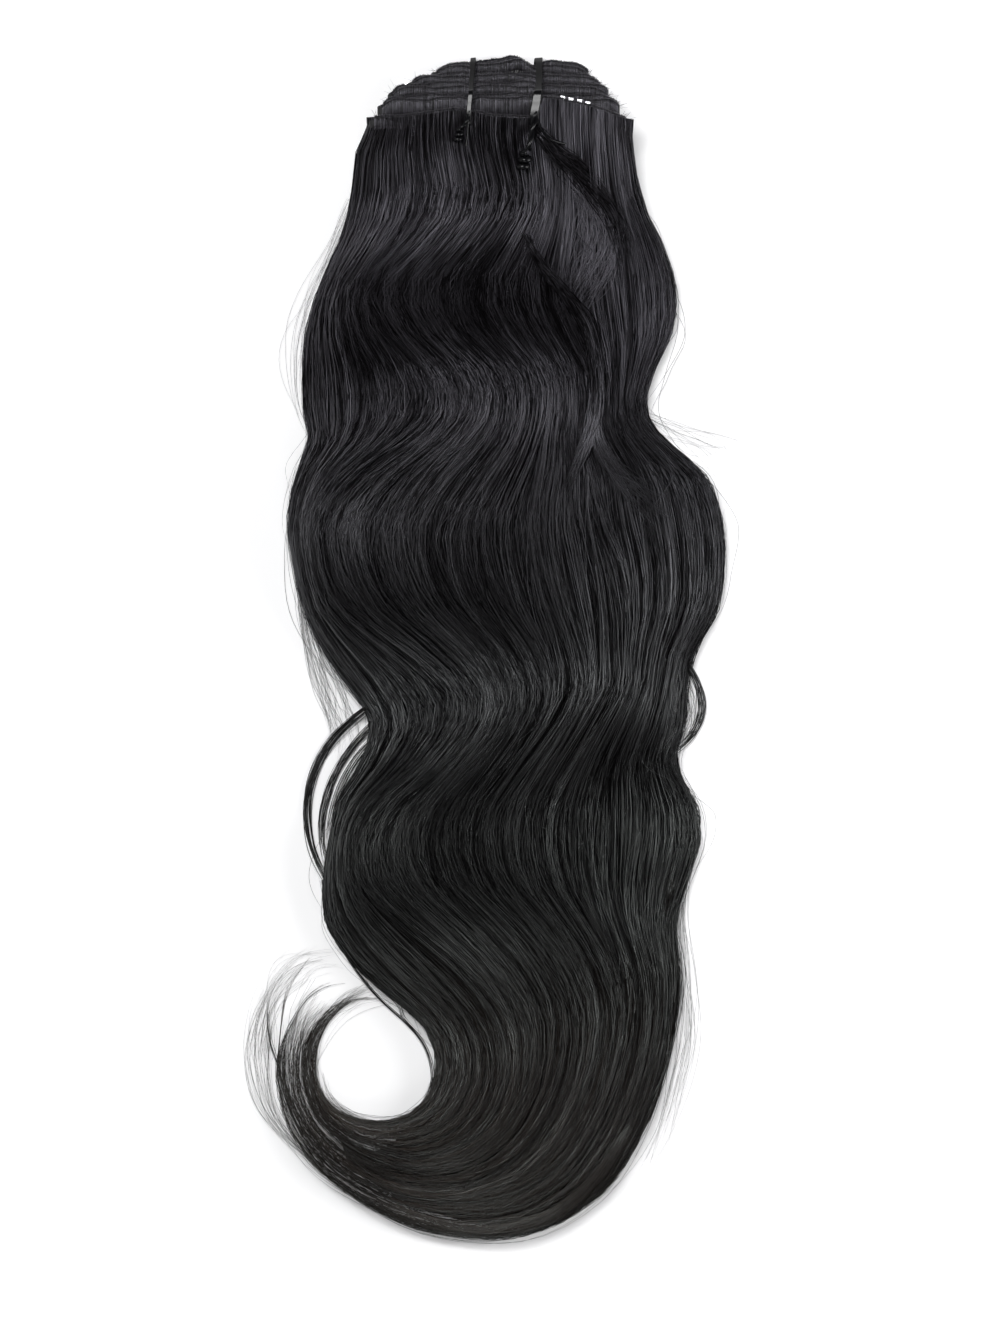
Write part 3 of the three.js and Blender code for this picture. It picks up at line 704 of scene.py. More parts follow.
def front_edge(x):
    """How far the front band's edge lies above or below its middle at x."""
    return np.interp(x, FRONT_EDGE_X, FRONT_EDGE_Y)


def band_edge(index, x, lower):
    """Place of a band's edge at x. lower is 0 on the upper run and 1 on the lower one."""
    left, right, edge, sag, top = BANDS[index]
    middle, half = (right - left) / 2, (right + left) / 2
    bend = front_edge(x) if index == FRONT else -sag * ((x - middle) / half) ** 2
    ripple = sum(
        size * np.sin(2 * np.pi * x / wave + 1.7 * index + 2.3 * lower + wave)
        for size, wave in RIPPLES
    )
    if index == FRONT:
        ripple = 0.3 * ripple
    pinch = sum(PINCH * np.exp(-((x - tie) / PINCH_WIDTH) ** 2) for tie in TIES)
    if index == 0:
        for size, place, width in BACK_BENDS:
            pinch = pinch + size * np.exp(-((x - place) / width) ** 2)
    near_end = np.clip((np.abs(x - middle) - half + END_ROUND) / END_ROUND, 0, 1)
    rounded = (0.8 if index == FRONT else 3.4) * (np.sqrt(1 - 0.98 * near_end**2) - 1)
    return edge + bend + ripple + pinch + rounded + SECOND_RUN[index] * lower


print("bands' edges at their middle:", [round(float(band_edge(k, 0.0, 0)), 1) for k in range(len(BANDS))])

# %% [markdown]
# A tape is one closed ribbon that goes along the upper run, round the fold at its left end and back
# along the lower run. Its front edge is rounded, so that the loops lie on it without a step.

# %% Folded tapes
RUN_POINTS, TURN_POINTS = 70, 9


def folded_tape(index):
    """One band's tape as a closed ribbon."""
    left, right, edge, sag, top = BANDS[index]
    z_up = top - TAPE_TOP - RUN_THICKNESS / 2
    turn = np.linspace(0, np.pi, TURN_POINTS)[1:-1]
    run = np.linspace(0, 1, RUN_POINTS)
    level = np.ones(RUN_POINTS)
    x = np.concatenate([
        right + (-left - right) * run,
        -left - np.sin(turn) * RUN_PITCH / 2,
        -left + (left + right) * run,
    ])
    z = np.concatenate([
        level * z_up,
        z_up - RUN_PITCH / 2 + np.cos(turn) * RUN_PITCH / 2,
        level * (z_up - RUN_PITCH),
    ])
    lower = np.concatenate([0 * level, np.linspace(0, 1, TURN_POINTS)[1:-1], level])
    dx, dz = np.gradient(x), np.gradient(z)
    size = np.hypot(dx, dz)
    normal_x, normal_z = dz / size, -dx / size
    half = RUN_THICKNESS / 2
    # The tape's section: its width along y from the edge, and its thickness.
    width = TAPE_WIDTHS[index]
    section = [(-width, -half), (-width, 0.5 * half), (-3, half), (-0.6, half), (-0.15, 0.6 * half)]
    section += [(0.0, 0.0), (-0.15, -0.6 * half), (-0.6, -half), (-3, -half)]
    section = np.array(section)
    y = band_edge(index, x, lower)[:, None] + section[:, 0]
    across = section[:, 1]
    points = np.stack([
        x[:, None] + normal_x[:, None] * across,
        y,
        z[:, None] + normal_z[:, None] * across,
    ], axis=-1)
    rows, columns = points.shape[:2]
    faces = [list(f) for f in grid_faces(rows, columns, closed=True)]
    faces.append(list(range(columns)))
    faces.append(list(range((rows - 1) * columns, rows * columns))[::-1])
    obj = mesh_object(f"band_{index + 1}_tape", points.reshape(-1, 3), faces, material=TAPE)
    uv_from_grid(obj, rows, columns)
    return obj


for index in range(len(BANDS)):
    show(folded_tape(index))
print("tapes:", len(BANDS))

# %% [markdown]
# Each bunch of hair is laid over the tape's edge and sewn down, which gives the edge its fine teeth. The
# thread shows as one wavy line beside the edge. Both are swept like the strands, along short paths.

# %% Hair loops and stitches
LOOP_PITCH, LOOP_TONE = 0.44, 0.8
STITCH_LENGTH = 2.1


def hair_loops(index, lower):
    """Loops of hair over one run's edge, as paths."""
    left, right, edge, sag, top = BANDS[index]
    x = np.arange(-left + 0.3, right - 0.2, LOOP_PITCH)
    x = x + rng.normal(0, 0.07, len(x))
    base = top - TAPE_TOP - lower * RUN_PITCH
    start = -TAPE_WIDTHS[index] - 0.8
    over = [(start, -0.5), (start + 2.0, 0.12), (-1.6, 0.2), (-0.5, 0.12)]
    over = np.array(over + [(0.05, -0.3), (0.22, -0.95), (0.05, -1.6)])
    y = band_edge(index, x, lower)[:, None] + over[:, 0] + rng.normal(0, 0.09, (len(x), 1))
    z = base + over[:, 1] + rng.normal(0, 0.06, (len(x), 1))
    lean = rng.normal(0, 0.12, (len(x), 1)) * np.linspace(1, 0, len(over))
    return np.stack([x[:, None] + lean, y, z], axis=-1)


def stitch_line(index, lower, points=200):
    """The thread along one run, as a path."""
    left, right, edge, sag, top = BANDS[index]
    x = np.linspace(-left + 0.6, right - 0.6, points)
    base = top - TAPE_TOP - lower * RUN_PITCH
    y = band_edge(index, x, lower) - 1.15 + 0.12 * np.sin(2 * np.pi * x / STITCH_LENGTH)
    z = base + 0.38 + 0.10 * np.cos(2 * np.pi * x / STITCH_LENGTH)
    return np.stack([x, y, z], axis=-1)


runs = [(index, lower) for index in range(len(BANDS)) for lower in (0, 1)]
loops = np.concatenate([hair_loops(index, lower) for index, lower in runs])
count = len(loops)
loops_piece = strands(
    "hair_loops_over_bands", loops, rng.uniform(0.17, 0.26, (count, 1)),
    np.clip(rng.normal(LOOP_TONE, 0.22, (count, 1)), 0, 1), 0.0,
)
stitches = np.stack([stitch_line(index, lower) for index, lower in runs])
stitch_piece = strands("band_stitches", stitches, 0.15, 0.5, 0.0, material=THREAD)
for piece in (loops_piece, stitch_piece):
    show(piece)

# %% [markdown]
# ## The raised clip's comb
# One clip is turned up a little, so that the tips of its comb look out over the front band's edge.

# %% Comb tips
COMB_TIPS = ((25.0, 4.4), (28.3, 3.7), (31.7, 3.0), (35.0, 2.2))    # middles, in millimetres
TIP_WIDTH, TIP_LENGTH, TIP_THICKNESS, TIP_HEIGHT = 1.9, 3.6, 0.7, 24.6
COMB_SLANT = 0.2


def comb_tips():
    """Steel bars that reach from under the front band to their tips."""
    corners = np.array([[x, y, z] for x in (-0.5, 0.5) for y in (-1, 0) for z in (-0.5, 0.5)])
    faces = np.array([[0, 1, 3, 2], [4, 6, 7, 5], [0, 4, 5, 1], [2, 3, 7, 6], [0, 2, 6, 4], [1, 5, 7, 3]])
    points, quads = [], []
    for k, (x, y) in enumerate(COMB_TIPS):
        size = (TIP_WIDTH, TIP_LENGTH, TIP_THICKNESS)
        bar = corners * size
        bar[:, 1] -= COMB_SLANT * bar[:, 0]
        points.append(bar + (x, y + 0.5, TIP_HEIGHT))
        quads.append(faces + 8 * k)
    points, quads = np.concatenate(points), np.concatenate(quads)
    return mesh_object("comb_tips", points, quads, material=STEEL, smooth=False)


show(comb_tips())
print("comb tips:", len(COMB_TIPS))

# %% [markdown]
# ## The two ties
# Each tie is a flat vinyl strap that runs round the stack. It bridges from the front band to the next
# ones, and shines there, because it leans towards the light. Its ends are twisted into a cord and wound
# up as a small knot.

# %% Straps
STRAP_THICKNESS = 0.8
STRAP_STEPS = 6              # points between two rows of the loop
MATTE_FROM, MATTE_TO = 6.2, 11    # rows of the loop where the strap shows its back
STRAP_LOOP = np.array([
    # y, z, then shift and width of the left strap, and shift and width of the right one
    (-7.2, 1.2, -0.4, 2.0, -0.8, 3.0),
    (-7.3, 13.0, -0.4, 2.0, -1.0, 3.2),
    (-7.0, 24.4, -0.5, 1.8, -1.3, 3.4),
    (-5.0, 27.2, -0.6, 1.6, -1.2, 3.6),
    (-1.2, 27.6, -0.6, 1.9, -0.9, 3.9),
    (2.8, 27.1, -0.3, 1.9, -0.2, 4.0),
    (6.4, 26.4, 0.1, 1.8, 0.3, 3.4),
    (8.8, 22.4, 0.3, 1.8, 0.7, 2.5),
    (12.2, 17.4, 0.5, 1.8, 0.9, 2.4),
    (16.4, 12.3, 0.8, 1.9, 0.9, 2.5),
    (19.3, 7.9, 1.0, 2.0, 0.8, 2.8),
    (19.6, 1.3, 1.0, 2.2, 0.6, 3.4),
    (6.0, 0.9, 0.3, 2.0, -0.2, 3.2),
])
def strap(name, middle, columns):
    """A flat ribbon round the whole stack."""
    rows = len(STRAP_LOOP) * STRAP_STEPS
    at = np.arange(rows) / STRAP_STEPS
    i = at.astype(int)
    neighbours = (STRAP_LOOP[(i + k) % len(STRAP_LOOP)] for k in (-1, 0, 1, 2))
    loop = curve_between(*neighbours, (at % 1)[:, None])
    shift, width = loop[:, columns[0]], loop[:, columns[1]]
    forward = np.roll(loop[:, :2], -1, axis=0) - np.roll(loop[:, :2], 1, axis=0)
    forward = forward / np.linalg.norm(forward, axis=1, keepdims=True)
    outward = np.stack([-forward[:, 1], forward[:, 0]], axis=-1)
    half = STRAP_THICKNESS / 2
    # The second point from each corner keeps the flat sides flat under smooth shading.
    section = [(-0.5, -0.4), (-0.5, 0.4), (-0.44, 1.0), (-0.36, 1.0), (0.36, 1.0), (0.44, 1.0)]
    section += [(0.5, 0.4), (0.5, -0.4), (0.44, -1.0), (0.36, -1.0), (-0.36, -1.0), (-0.44, -1.0)]
    section = np.array(section)
    x = middle + shift[:, None] + section[None, :, 0] * width[:, None]
    lean = 0.08 * section[None, :, 0] * width[:, None]
    y = loop[:, 0:1] + outward[:, 0:1] * (section[None, :, 1] * half + lean)
    z = loop[:, 1:2] + outward[:, 1:2] * (section[None, :, 1] * half + lean)
    points = np.stack([x, y, z], axis=-1)
    columns_round = len(section)
    faces = grid_faces(rows, columns_round, closed=True).tolist()
    j = np.arange(columns_round)
    k = (j + 1) % columns_round
    last = (rows - 1) * columns_round
    faces += np.stack([last + j, j, k, last + k], axis=-1).tolist()
    obj = mesh_object(name, points.reshape(-1, 3), faces, material=VINYL)
    # Its matte back shows on the steep part.
    obj.data.materials.append(VINYL_BACK)
    for face in obj.data.polygons:
        row = face.vertices[0] // columns_round
        if MATTE_FROM < row / STRAP_STEPS < MATTE_TO:
            face.material_index = 1
    uv_from_grid(obj, rows, columns_round)
    return obj


# %% [markdown]
# Beyond the strap each tie is a cord: two strands twisted round each other form its neck, a helix forms
# the wound knot, and one thinner strand its loose tail. Their places are read off the photograph.

# %% Necks, knots and tails
TIE_ENDS = {
    "tie_left": {
        "columns": (2, 3), "cord": 0.55,
        "neck": ((-12.4, -1.0, 27.4), (-13.4, -5.6, 27.6), (-15.6, -8.2, 27.9)),
        "knot": ((-15.8, -8.6, 28.0), (-17.0, -13.4, 27.6), 1.1, 2.5),
        "tail": ((-12.6, -3.0, 27.2), (-13.0, -9.0, 26.7), (-13.6, -15.0, 26.3)),
    },
    "tie_right": {
        "columns": (4, 5), "cord": 0.85,
        "neck": ((13.9, -1.6, 27.5), (13.1, -8.0, 28.0), (11.2, -16.8, 28.9)),
        "knot": ((10.6, -18.0, 29.0), (8.9, -24.2, 28.6), 1.7, 2.3),
        "tail": ((14.6, -3.0, 27.3), (16.6, -8.6, 27.2), (20.0, -12.4, 27.0), (26.0, -14.4, 27.2)),
    },
}


def wound_knot(start, end, radius, turns, points=70):
    """A helix round the line from start to end."""
    start, end = np.array(start), np.array(end)
    axis = (end - start) / np.linalg.norm(end - start)
    side = np.cross(axis, (0, 0, 1))
    side = side / np.linalg.norm(side)
    up = np.cross(side, axis)
    t = np.linspace(0, 1, points)[:, None]
    turn = 2 * np.pi * turns * t
    return start + (end - start) * t + radius * (np.cos(turn) * up + np.sin(turn) * side)


for (name, ends), middle in zip(TIE_ENDS.items(), TIES):
    cord = ends["cord"]
    ribbon = strap(f"{name}_strap", middle, ends["columns"])
    turn = np.linspace(0, 3 * np.pi, 30)[:, None]
    twist = np.concatenate([np.cos(turn), 0.3 * np.sin(turn), np.sin(turn)], axis=1) * cord * 0.8
    line = spline(ends["neck"], 30)
    cords = np.stack([line + twist, line - twist])
    twisted = strands(f"{name}_neck", cords, cord * 0.8, 0.5, 0.0, material=VINYL, sides=8)
    coil = wound_knot(*ends["knot"])
    knot = strands(f"{name}_knot", coil[None], cord * 1.4, 0.5, 0.0, material=VINYL, sides=10)
    tail = spline(ends["tail"], 24)[None]
    tail = strands(f"{name}_tail", tail, cord * 0.7, 0.5, 0.0, material=VINYL, sides=8)
    for piece in (ribbon, twisted, knot, tail):
        show(piece)
    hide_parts(name)

# %% [markdown]
# ## Locks
# Hair lies in locks: a few dozen strands that move together, stand a little proud in their middle and
# pass over and under their neighbours. Each lock has a centre that drifts round the pile, a height that
# drifts too, and a width. A strand keeps its place in its lock. Towards the tips locks get narrower and
# come apart.

# %% Locks of the main curtain
PAINTED_SHEEN_AND_SHADE = [
    # x, y, radiusX, radiusY, change: where the strands are painted lighter and shinier (painted sheen), or
    # darker (painted shade)
    (36.0, -8.0, 18.0, 12.0, 0.60),
    (-8.0, -8.0, 18.0, 7.0, -0.35),
    (-42.0, -9.0, 15.0, 6.0, -0.22),
    (-2.0, -28.0, 18.0, 16.0, -0.38),
    (36.0, -62.0, 14.0, 16.0, 0.28),
    (0.0, -74.0, 22.0, 14.0, -0.35),
    (-52.0, -54.0, 14.0, 10.0, 0.22),
    (-60.0, -104.0, 26.0, 16.0, -0.42),
    (-62.0, -140.0, 24.0, 14.0, -0.25),
    (-10.0, -96.0, 22.0, 9.0, -0.25),
    (44.0, -104.0, 20.0, 10.0, -0.28),
    (-58.0, -174.0, 26.0, 14.0, 0.35),
    (-4.0, -164.0, 20.0, 9.0, 0.22),
    (-56.0, -302.0, 20.0, 18.0, 0.32),
    (60.0, -270.0, 16.0, 10.0, -0.28),
    (58.0, -322.0, 16.0, 9.0, 0.30),
    (52.0, -354.0, 24.0, 15.0, -0.50),
    (-14.0, -340.0, 24.0, 12.0, 0.20),
    (36.0, -408.0, 26.0, 22.0, 0.60),
    (-10.0, -398.0, 24.0, 14.0, 0.30),
    (-6.0, -432.0, 34.0, 14.0, 0.32),
]
LOCKS = 150
POINTS = 40
PIECES = 5
PER_PIECE = 500
SINGLE = 700         # strands that belong to no lock


def lock_courses(t):
    """Where each lock runs: its middle, half width, wandering, lift, spreading and end."""
    centre = (np.arange(LOCKS) + rng.uniform(0.1, 0.9, LOCKS)) / LOCKS
    half = rng.uniform(0.003, 0.015, LOCKS)
    inner = np.sin(np.pi * centre)[:, None]
    wander = drift(LOCKS, t, (0.7, 1.6, 2.6), 0.013) * ramp(t, 0.03, 0.3) * (0.35 + 0.65 * inner)
    lift = np.clip(drift(LOCKS, t, (0.9, 1.9, 3.3), 0.6), -0.9, 0.9) * ramp(t, 0.02, 0.12)
    spread = 1 + drift(LOCKS, t, (1.5, 2.7), 0.22)
    lock_end = 0.78 + 0.18 * rng.uniform(0, 1, LOCKS) ** 4
    return centre, half, wander, lift, spread, lock_end


print("locks:", LOCKS, "strands in them:", PIECES * PER_PIECE - SINGLE)

# %% [markdown]
# Now each strand chooses a lock, a place in it and an end, and gets its own small drift. Its tone follows
# its lock and the spots of painted sheen and painted shade, and its last part may be brown.

# %% Strands of the main curtain
def lock_strands():
    """Paths, thicknesses, tones and tips of all the curtain's strands, lock by lock."""
    t = np.linspace(0, 1, POINTS)[None, :]
    centre, half, wander, lift, spread, lock_end = lock_courses(t)
    total = PIECES * PER_PIECE
    lock = rng.choice(LOCKS, total, p=half / half.sum())
    a = rng.uniform(-1, 1, total)
    end = lock_end[lock] + rng.normal(0, 0.02, total)
    row_end = np.clip(end, 0.7, 1.0) * LAST_ROW
    own = drift(total, t, (1.1, 2.4), 0.0026)
    closing = 1 - 0.4 * ramp(t, 0.8, 1.0)
    place = centre[lock][:, None] + wander[lock] + own * ramp(t, 0.02, 0.2)
    place = place + (a[:, None] * half[lock][:, None]) * spread[lock] * closing
    # Some strands belong to no lock. They lie evenly under the locks, so that no gap shows the inside.
    single = np.arange(total) < SINGLE
    even = ((np.arange(total) + rng.uniform(0, 1, total)) / SINGLE)[:, None] + own
    place = np.where(single[:, None], even, place)
    place = np.clip(place, 0.004, 0.996)
    row = t * row_end[:, None]
    crown = 1.0 * (1 - a[:, None] ** 2) * ramp(t, 0.02, 0.12)
    out = np.where(single[:, None], -0.3, lift[lock] + crown) - 0.4 * ramp(t, 0.0, 0.06)
    out = out + rng.normal(0, 0.3, (total, 1)) + drift(total, t, (3.0,), 0.15)
    out = out * np.minimum(1, section_at(row)[..., TOP] / 0.45)
    paths = on_pile(place, row, out)
    paths[..., 1] += front_edge(paths[..., 0]) * (1 - ramp(row, 0.3, 2.5))
    taper = 1 - 0.75 * ramp(t, 0.82, 1.0)
    thickness = rng.uniform(0.13, 0.24, (total, 1)) * taper
    tone = rng.normal(0.42, 0.26, (total, 1)) + rng.normal(0, 0.12, LOCKS)[lock][:, None]
    # The spots paint sheen and shade into the strands' tone.
    tone = np.clip(tone + soft_spots(paths[..., 0:2], PAINTED_SHEEN_AND_SHADE), 0, 1)
    tip = ramp(row, LAST_ROW - 14, LAST_ROW) * rng.uniform(0.1, 1.0, (total, 1))
    order = np.argsort(lock, kind="stable")
    return paths[order], thickness[order], tone[order], tip[order]


paths, thickness, tone, tip = lock_strands()
for piece in range(PIECES):
    part = slice(piece * PER_PIECE, (piece + 1) * PER_PIECE)
    show(strands(f"hair_strands_{piece + 1}", paths[part], thickness[part], tone[part], tip[part]))

# %% [markdown]
# ## Locks that leave the others
# Some locks lie across the pile or beside it. Their guides are read off the photograph in its pixels,
# which are 0.4 mm each, from left to right and from top to bottom. Each guide gets a width at its start,
# middle and end, and strands that are spread over that width.

# %% Guides of the loose locks
PIXEL = 0.4
MIDDLE_PIXEL = (500.0, 110.5)    # the bands' middle, at the front band's edge
GUIDES = {
    # name: strands, radius, lift, tone and brown; widths at its start, middle and end; places
    # The crossing lock is given twice: a very dark copy along its upper part, painted shade, and a bright
    # copy along its lower part, painted highlight.
    "crossing_lock": (
        96, 0.17, 3.0, 0.06, 0.0, (4, 15, 9),
        ((526, 236), (540, 264), (562, 292), (584, 324), (594, 360), (596, 398), (590, 436)),
    ),
    "crossing_lock_shine": (
        54, 0.16, 2.7, 0.66, 0.0, (3, 13, 9),
        ((588, 328), (597, 362), (598, 392), (594, 420), (586, 446), (574, 472), (562, 500)),
    ),
    "fan_behind_crossing": (
        96, 0.14, 0.7, 0.78, 0.0, (12, 46, 36),
        ((572, 178), (590, 206), (597, 236), (595, 262), (582, 292), (562, 324)),
    ),
    # A raised lock with a very dark tone along a shaded groove: painted shade.
    "lock_in_painted_shade": (
        90, 0.17, 1.2, 0.16, 0.0, (7, 23, 16),
        ((536, 130), (546, 142), (560, 158), (576, 172), (595, 194), (612, 218), (622, 250), (626, 290)),
    ),
    "pale_fan": (
        56, 0.15, 2.4, 0.85, 0.0, (5, 16, 34),
        ((594, 405), (597, 440), (612, 468), (634, 494), (662, 524)),
    ),
    "side_lock_outer": (
        34, 0.15, 0.8, 0.4, 0.1, (6, 8, 5),
        ((380, 700), (357, 716), (334, 738), (318, 764), (309, 792), (308, 822), (314, 852), (327, 880),
         (341, 905)),
    ),
    "side_lock_inner": (
        24, 0.13, 0.8, 0.4, 0.1, (6, 8, 5),
        ((386, 712), (362, 735), (342, 762), (328, 792), (321, 824), (324, 856), (334, 884)),
    ),
    "side_lock_third": (
        16, 0.12, 0.8, 0.4, 0.1, (4, 7, 4),
        ((392, 722), (370, 742), (350, 768), (337, 796), (330, 824), (328, 850)),
    ),
    "right_loop": (
        26, 0.14, 1.0, 0.5, 0.1, (5, 9, 6),
        ((660, 640), (682, 660), (697, 684), (701, 706), (695, 728), (680, 746), (660, 760)),
    ),
    "right_loop_inner": (
        24, 0.10, 1.0, 0.7, 0.1, (8, 18, 8),
        ((652, 648), (672, 668), (682, 690), (684, 712), (676, 734), (660, 752)),
    ),
    "right_loose": (
        22, 0.10, 0.8, 0.4, 0.2, (6, 12, 8),
        ((672, 880), (668, 910), (674, 945), (678, 985), (675, 1025), (664, 1066)),
    ),
    "waist_strand": (
        9, 0.13, 0.8, 0.3, 0.1, (4, 3, 4),
        ((322, 880), (331, 925), (346, 955), (364, 981), (383, 1002), (403, 1020), (420, 1038), (430, 1059),
         (432, 1083), (422, 1104), (403, 1118), (373, 1122)),
    ),
    "waist_strand_inner": (
        5, 0.11, 0.8, 0.3, 0.1, (2, 4, 2),
        ((324, 890), (348, 947), (371, 979), (397, 1002), (404, 1017), (420, 1034), (438, 1051)),
    ),
    "curl_lock": (
        54, 0.11, 0.9, 0.30, 0.35, (26, 12, 5),
        ((450, 1170), (388, 1152), (350, 1136), (322, 1112), (309, 1078), (308, 1050), (316, 1030),
         (330, 1012), (350, 999)),
    ),
    "curl_lock_tip": (
        22, 0.06, 0.8, 0.4, 0.4, (8, 10, 16),
        ((309, 1066), (318, 1030), (336, 1008), (356, 994), (378, 986)),
    ),
    "curl_outer": (
        30, 0.11, 0.8, 0.35, 0.4, (24, 10, 3),
        ((430, 1214), (350, 1178), (314, 1146), (292, 1112), (281, 1078), (281, 1052), (287, 1034),
         (296, 1016)),
    ),
    "curl_outer_strand": (
        5, 0.10, 0.8, 0.4, 0.3, (3, 2, 5),
        ((281, 1066), (285, 1038), (293, 1020), (307, 998), (326, 985), (346, 981)),
    ),
    "curl_middle_hairs": (
        60, 0.06, 0.8, 0.4, 0.4, (28, 20, 18),
        ((400, 1184), (338, 1146), (305, 1110), (294, 1078), (294, 1048), (304, 1020), (326, 1000)),
    ),
    "curl_wisps": (
        28, 0.045, 0.8, 0.4, 0.6, (8, 26, 34),
        ((340, 1176), (292, 1140), (268, 1108), (258, 1070), (257, 1036), (268, 1000), (292, 970),
         (322, 952)),
    ),
    "curl_top_wisps": (
        16, 0.045, 0.8, 0.4, 0.4, (20, 24, 30),
        ((264, 1060), (268, 1018), (284, 982), (308, 962), (346, 960)),
    ),
    "curl_dark_wisp": (
        6, 0.09, 0.8, 0.2, 0.3, (3, 3, 2),
        ((284, 1084), (277, 1061), (271, 1042), (268, 1018), (269, 1000)),
    ),
    "inner_rim": (
        50, 0.07, 0.8, 0.6, 0.9, (8, 14, 12),
        ((438, 1076), (426, 1106), (404, 1122), (376, 1128), (346, 1118), (326, 1098), (318, 1072)),
    ),
    "outer_rim": (
        96, 0.07, 0.8, 0.85, 0.9, (6, 14, 14),
        ((634, 1116), (618, 1144), (600, 1171), (578, 1195), (550, 1215), (518, 1226), (480, 1231),
         (438, 1225), (392, 1208), (340, 1180), (302, 1150)),
    ),
    "left_hairs": (
        22, 0.05, 0.8, 0.5, 0.0, (10, 34, 20),
        ((352, 200), (334, 250), (312, 300), (302, 350), (304, 400), (316, 440)),
    ),
    "shoulder_hairs": (
        12, 0.05, 1.0, 0.5, 0.0, (6, 18, 34),
        ((632, 412), (660, 424), (690, 436), (720, 446), (744, 458)),
    ),
    "left_waist_hairs": (
        40, 0.055, 0.8, 0.4, 0.1, (8, 26, 34),
        ((300, 560), (308, 620), (320, 665), (334, 700), (344, 730), (340, 760)),
    ),
    "lower_right_hairs": (
        26, 0.055, 0.8, 0.4, 0.3, (8, 20, 34),
        ((690, 850), (682, 910), (684, 970), (684, 1040), (666, 1120), (640, 1180)),
    ),
}


print("guides:", len(GUIDES))

# %% [markdown]
# A loose lock's strands keep their side of the guide and drift across it. They rise over the pile where
# they cross it, lie on the table beside it, and dive in at both ends, so that no cut end shows.

# %% Loose locks
def loose_lock(strand_count, radius, lift, tone, brown, widths, places, points=30):
    """Paths, thicknesses, tones and tips of one loose lock's strands."""
    flat = spline(places, points)
    flat = (flat - MIDDLE_PIXEL) * (PIXEL, -PIXEL)
    direction = np.gradient(flat, axis=0)
    side = np.stack([-direction[:, 1], direction[:, 0]], axis=-1)
    side = side / np.linalg.norm(side, axis=-1, keepdims=True)
    t = np.linspace(0, 1, points)[None, :]
    width = np.interp(t[0], (0, 0.5, 1), widths) * PIXEL
    a = rng.uniform(-1, 1, (strand_count, 1))
    across = a * (0.5 * width)[None, :] + drift(strand_count, t, (0.8, 1.7), 0.12) * width
    spot = flat[None] + side[None] * across[..., None]
    # Each hair ends somewhere else along its guide.
    length = rng.uniform(0.72, 1.0, (strand_count, 1)) * t
    spot = np.stack([
        np.stack([np.interp(length[k], t[0], spot[k, :, axis]) for axis in (0, 1)], axis=-1)
        for k in range(strand_count)
    ])
    height = smoothed(pile_height(spot), 6)
    height = height + lift + 0.6 * (1 - a**2) + rng.uniform(-0.3, 0.5, (strand_count, 1)) + radius
    # Both ends dive into the pile, unless they end beside it as free tips.
    dive = 1.8 * (1 - ramp(t, 0, 0.12)) + 1.2 * ramp(t, 0.9, 1.0)
    height = np.maximum(height - dive, radius + 0.1)
    taper = (0.5 + 0.5 * ramp(t, 0, 0.1)) * (1 - 0.6 * ramp(t, 0.75, 1.0))
    own_tone = np.clip(rng.normal(tone, 0.18, (strand_count, 1)), 0, 1)
    shape = (strand_count, points)
    return (
        np.concatenate([spot, height[..., None]], axis=-1),
        np.broadcast_to(radius * rng.uniform(0.8, 1.2, (strand_count, 1)) * taper, shape),
        np.broadcast_to(own_tone, shape),
        np.broadcast_to(brown * (0.4 + 0.6 * t) * rng.uniform(0.3, 1, (strand_count, 1)), shape),
    )


made = [loose_lock(*row) for row in GUIDES.values()]
show(strands("hair_loose_locks", *(np.concatenate(part) for part in zip(*made))))

# %% [markdown]
# ## Hairs across the curl
# A few hairs leave the curl and cross its hollow in flat bows, each between two places on its rim.

# %% Hairs in the hollow
HOLLOW_MIDDLE = (375.0, 1060.0)    # in the photograph's pixels
HOLLOW_RADIUS = (58.0, 62.0)


def hollow_hairs(count, points=16):
    """Thin hairs that bow from one side of the hollow to another."""
    t = np.linspace(0, 1, points)[None, :]
    first = rng.uniform(0.45, 1.25, (count, 1)) * np.pi
    last = first + rng.uniform(0.25, 0.65, (count, 1)) * np.pi
    rim = [np.stack([np.cos(turn), np.sin(turn)], axis=-1) * HOLLOW_RADIUS for turn in (first, last)]
    chord = rim[0] * (1 - t[..., None]) + rim[1] * t[..., None]
    bow = np.sin(np.pi * t) * rng.uniform(0.3, 0.9, (count, 1))
    middle = 0.5 * (rim[0] + rim[1])
    away = middle / np.maximum(np.linalg.norm(middle, axis=-1, keepdims=True), 12.0)
    place = HOLLOW_MIDDLE + chord + away * (bow * 30.0)[..., None]
    flat = (place - MIDDLE_PIXEL) * (PIXEL, -PIXEL)
    height = 0.5 + rng.uniform(0, 1.5, (count, 1)) + np.zeros_like(t)
    return np.concatenate([flat, height[..., None]], axis=-1)


crossing = hollow_hairs(16)
show(strands("hair_across_hollow", crossing, rng.uniform(0.03, 0.06, (len(crossing), 1)), 0.4, 0.3))

# %% [markdown]
# ## Tufts at the bands' ends
# Where each band was cut, short stubs of hair stick out of the tape and fan out a little.

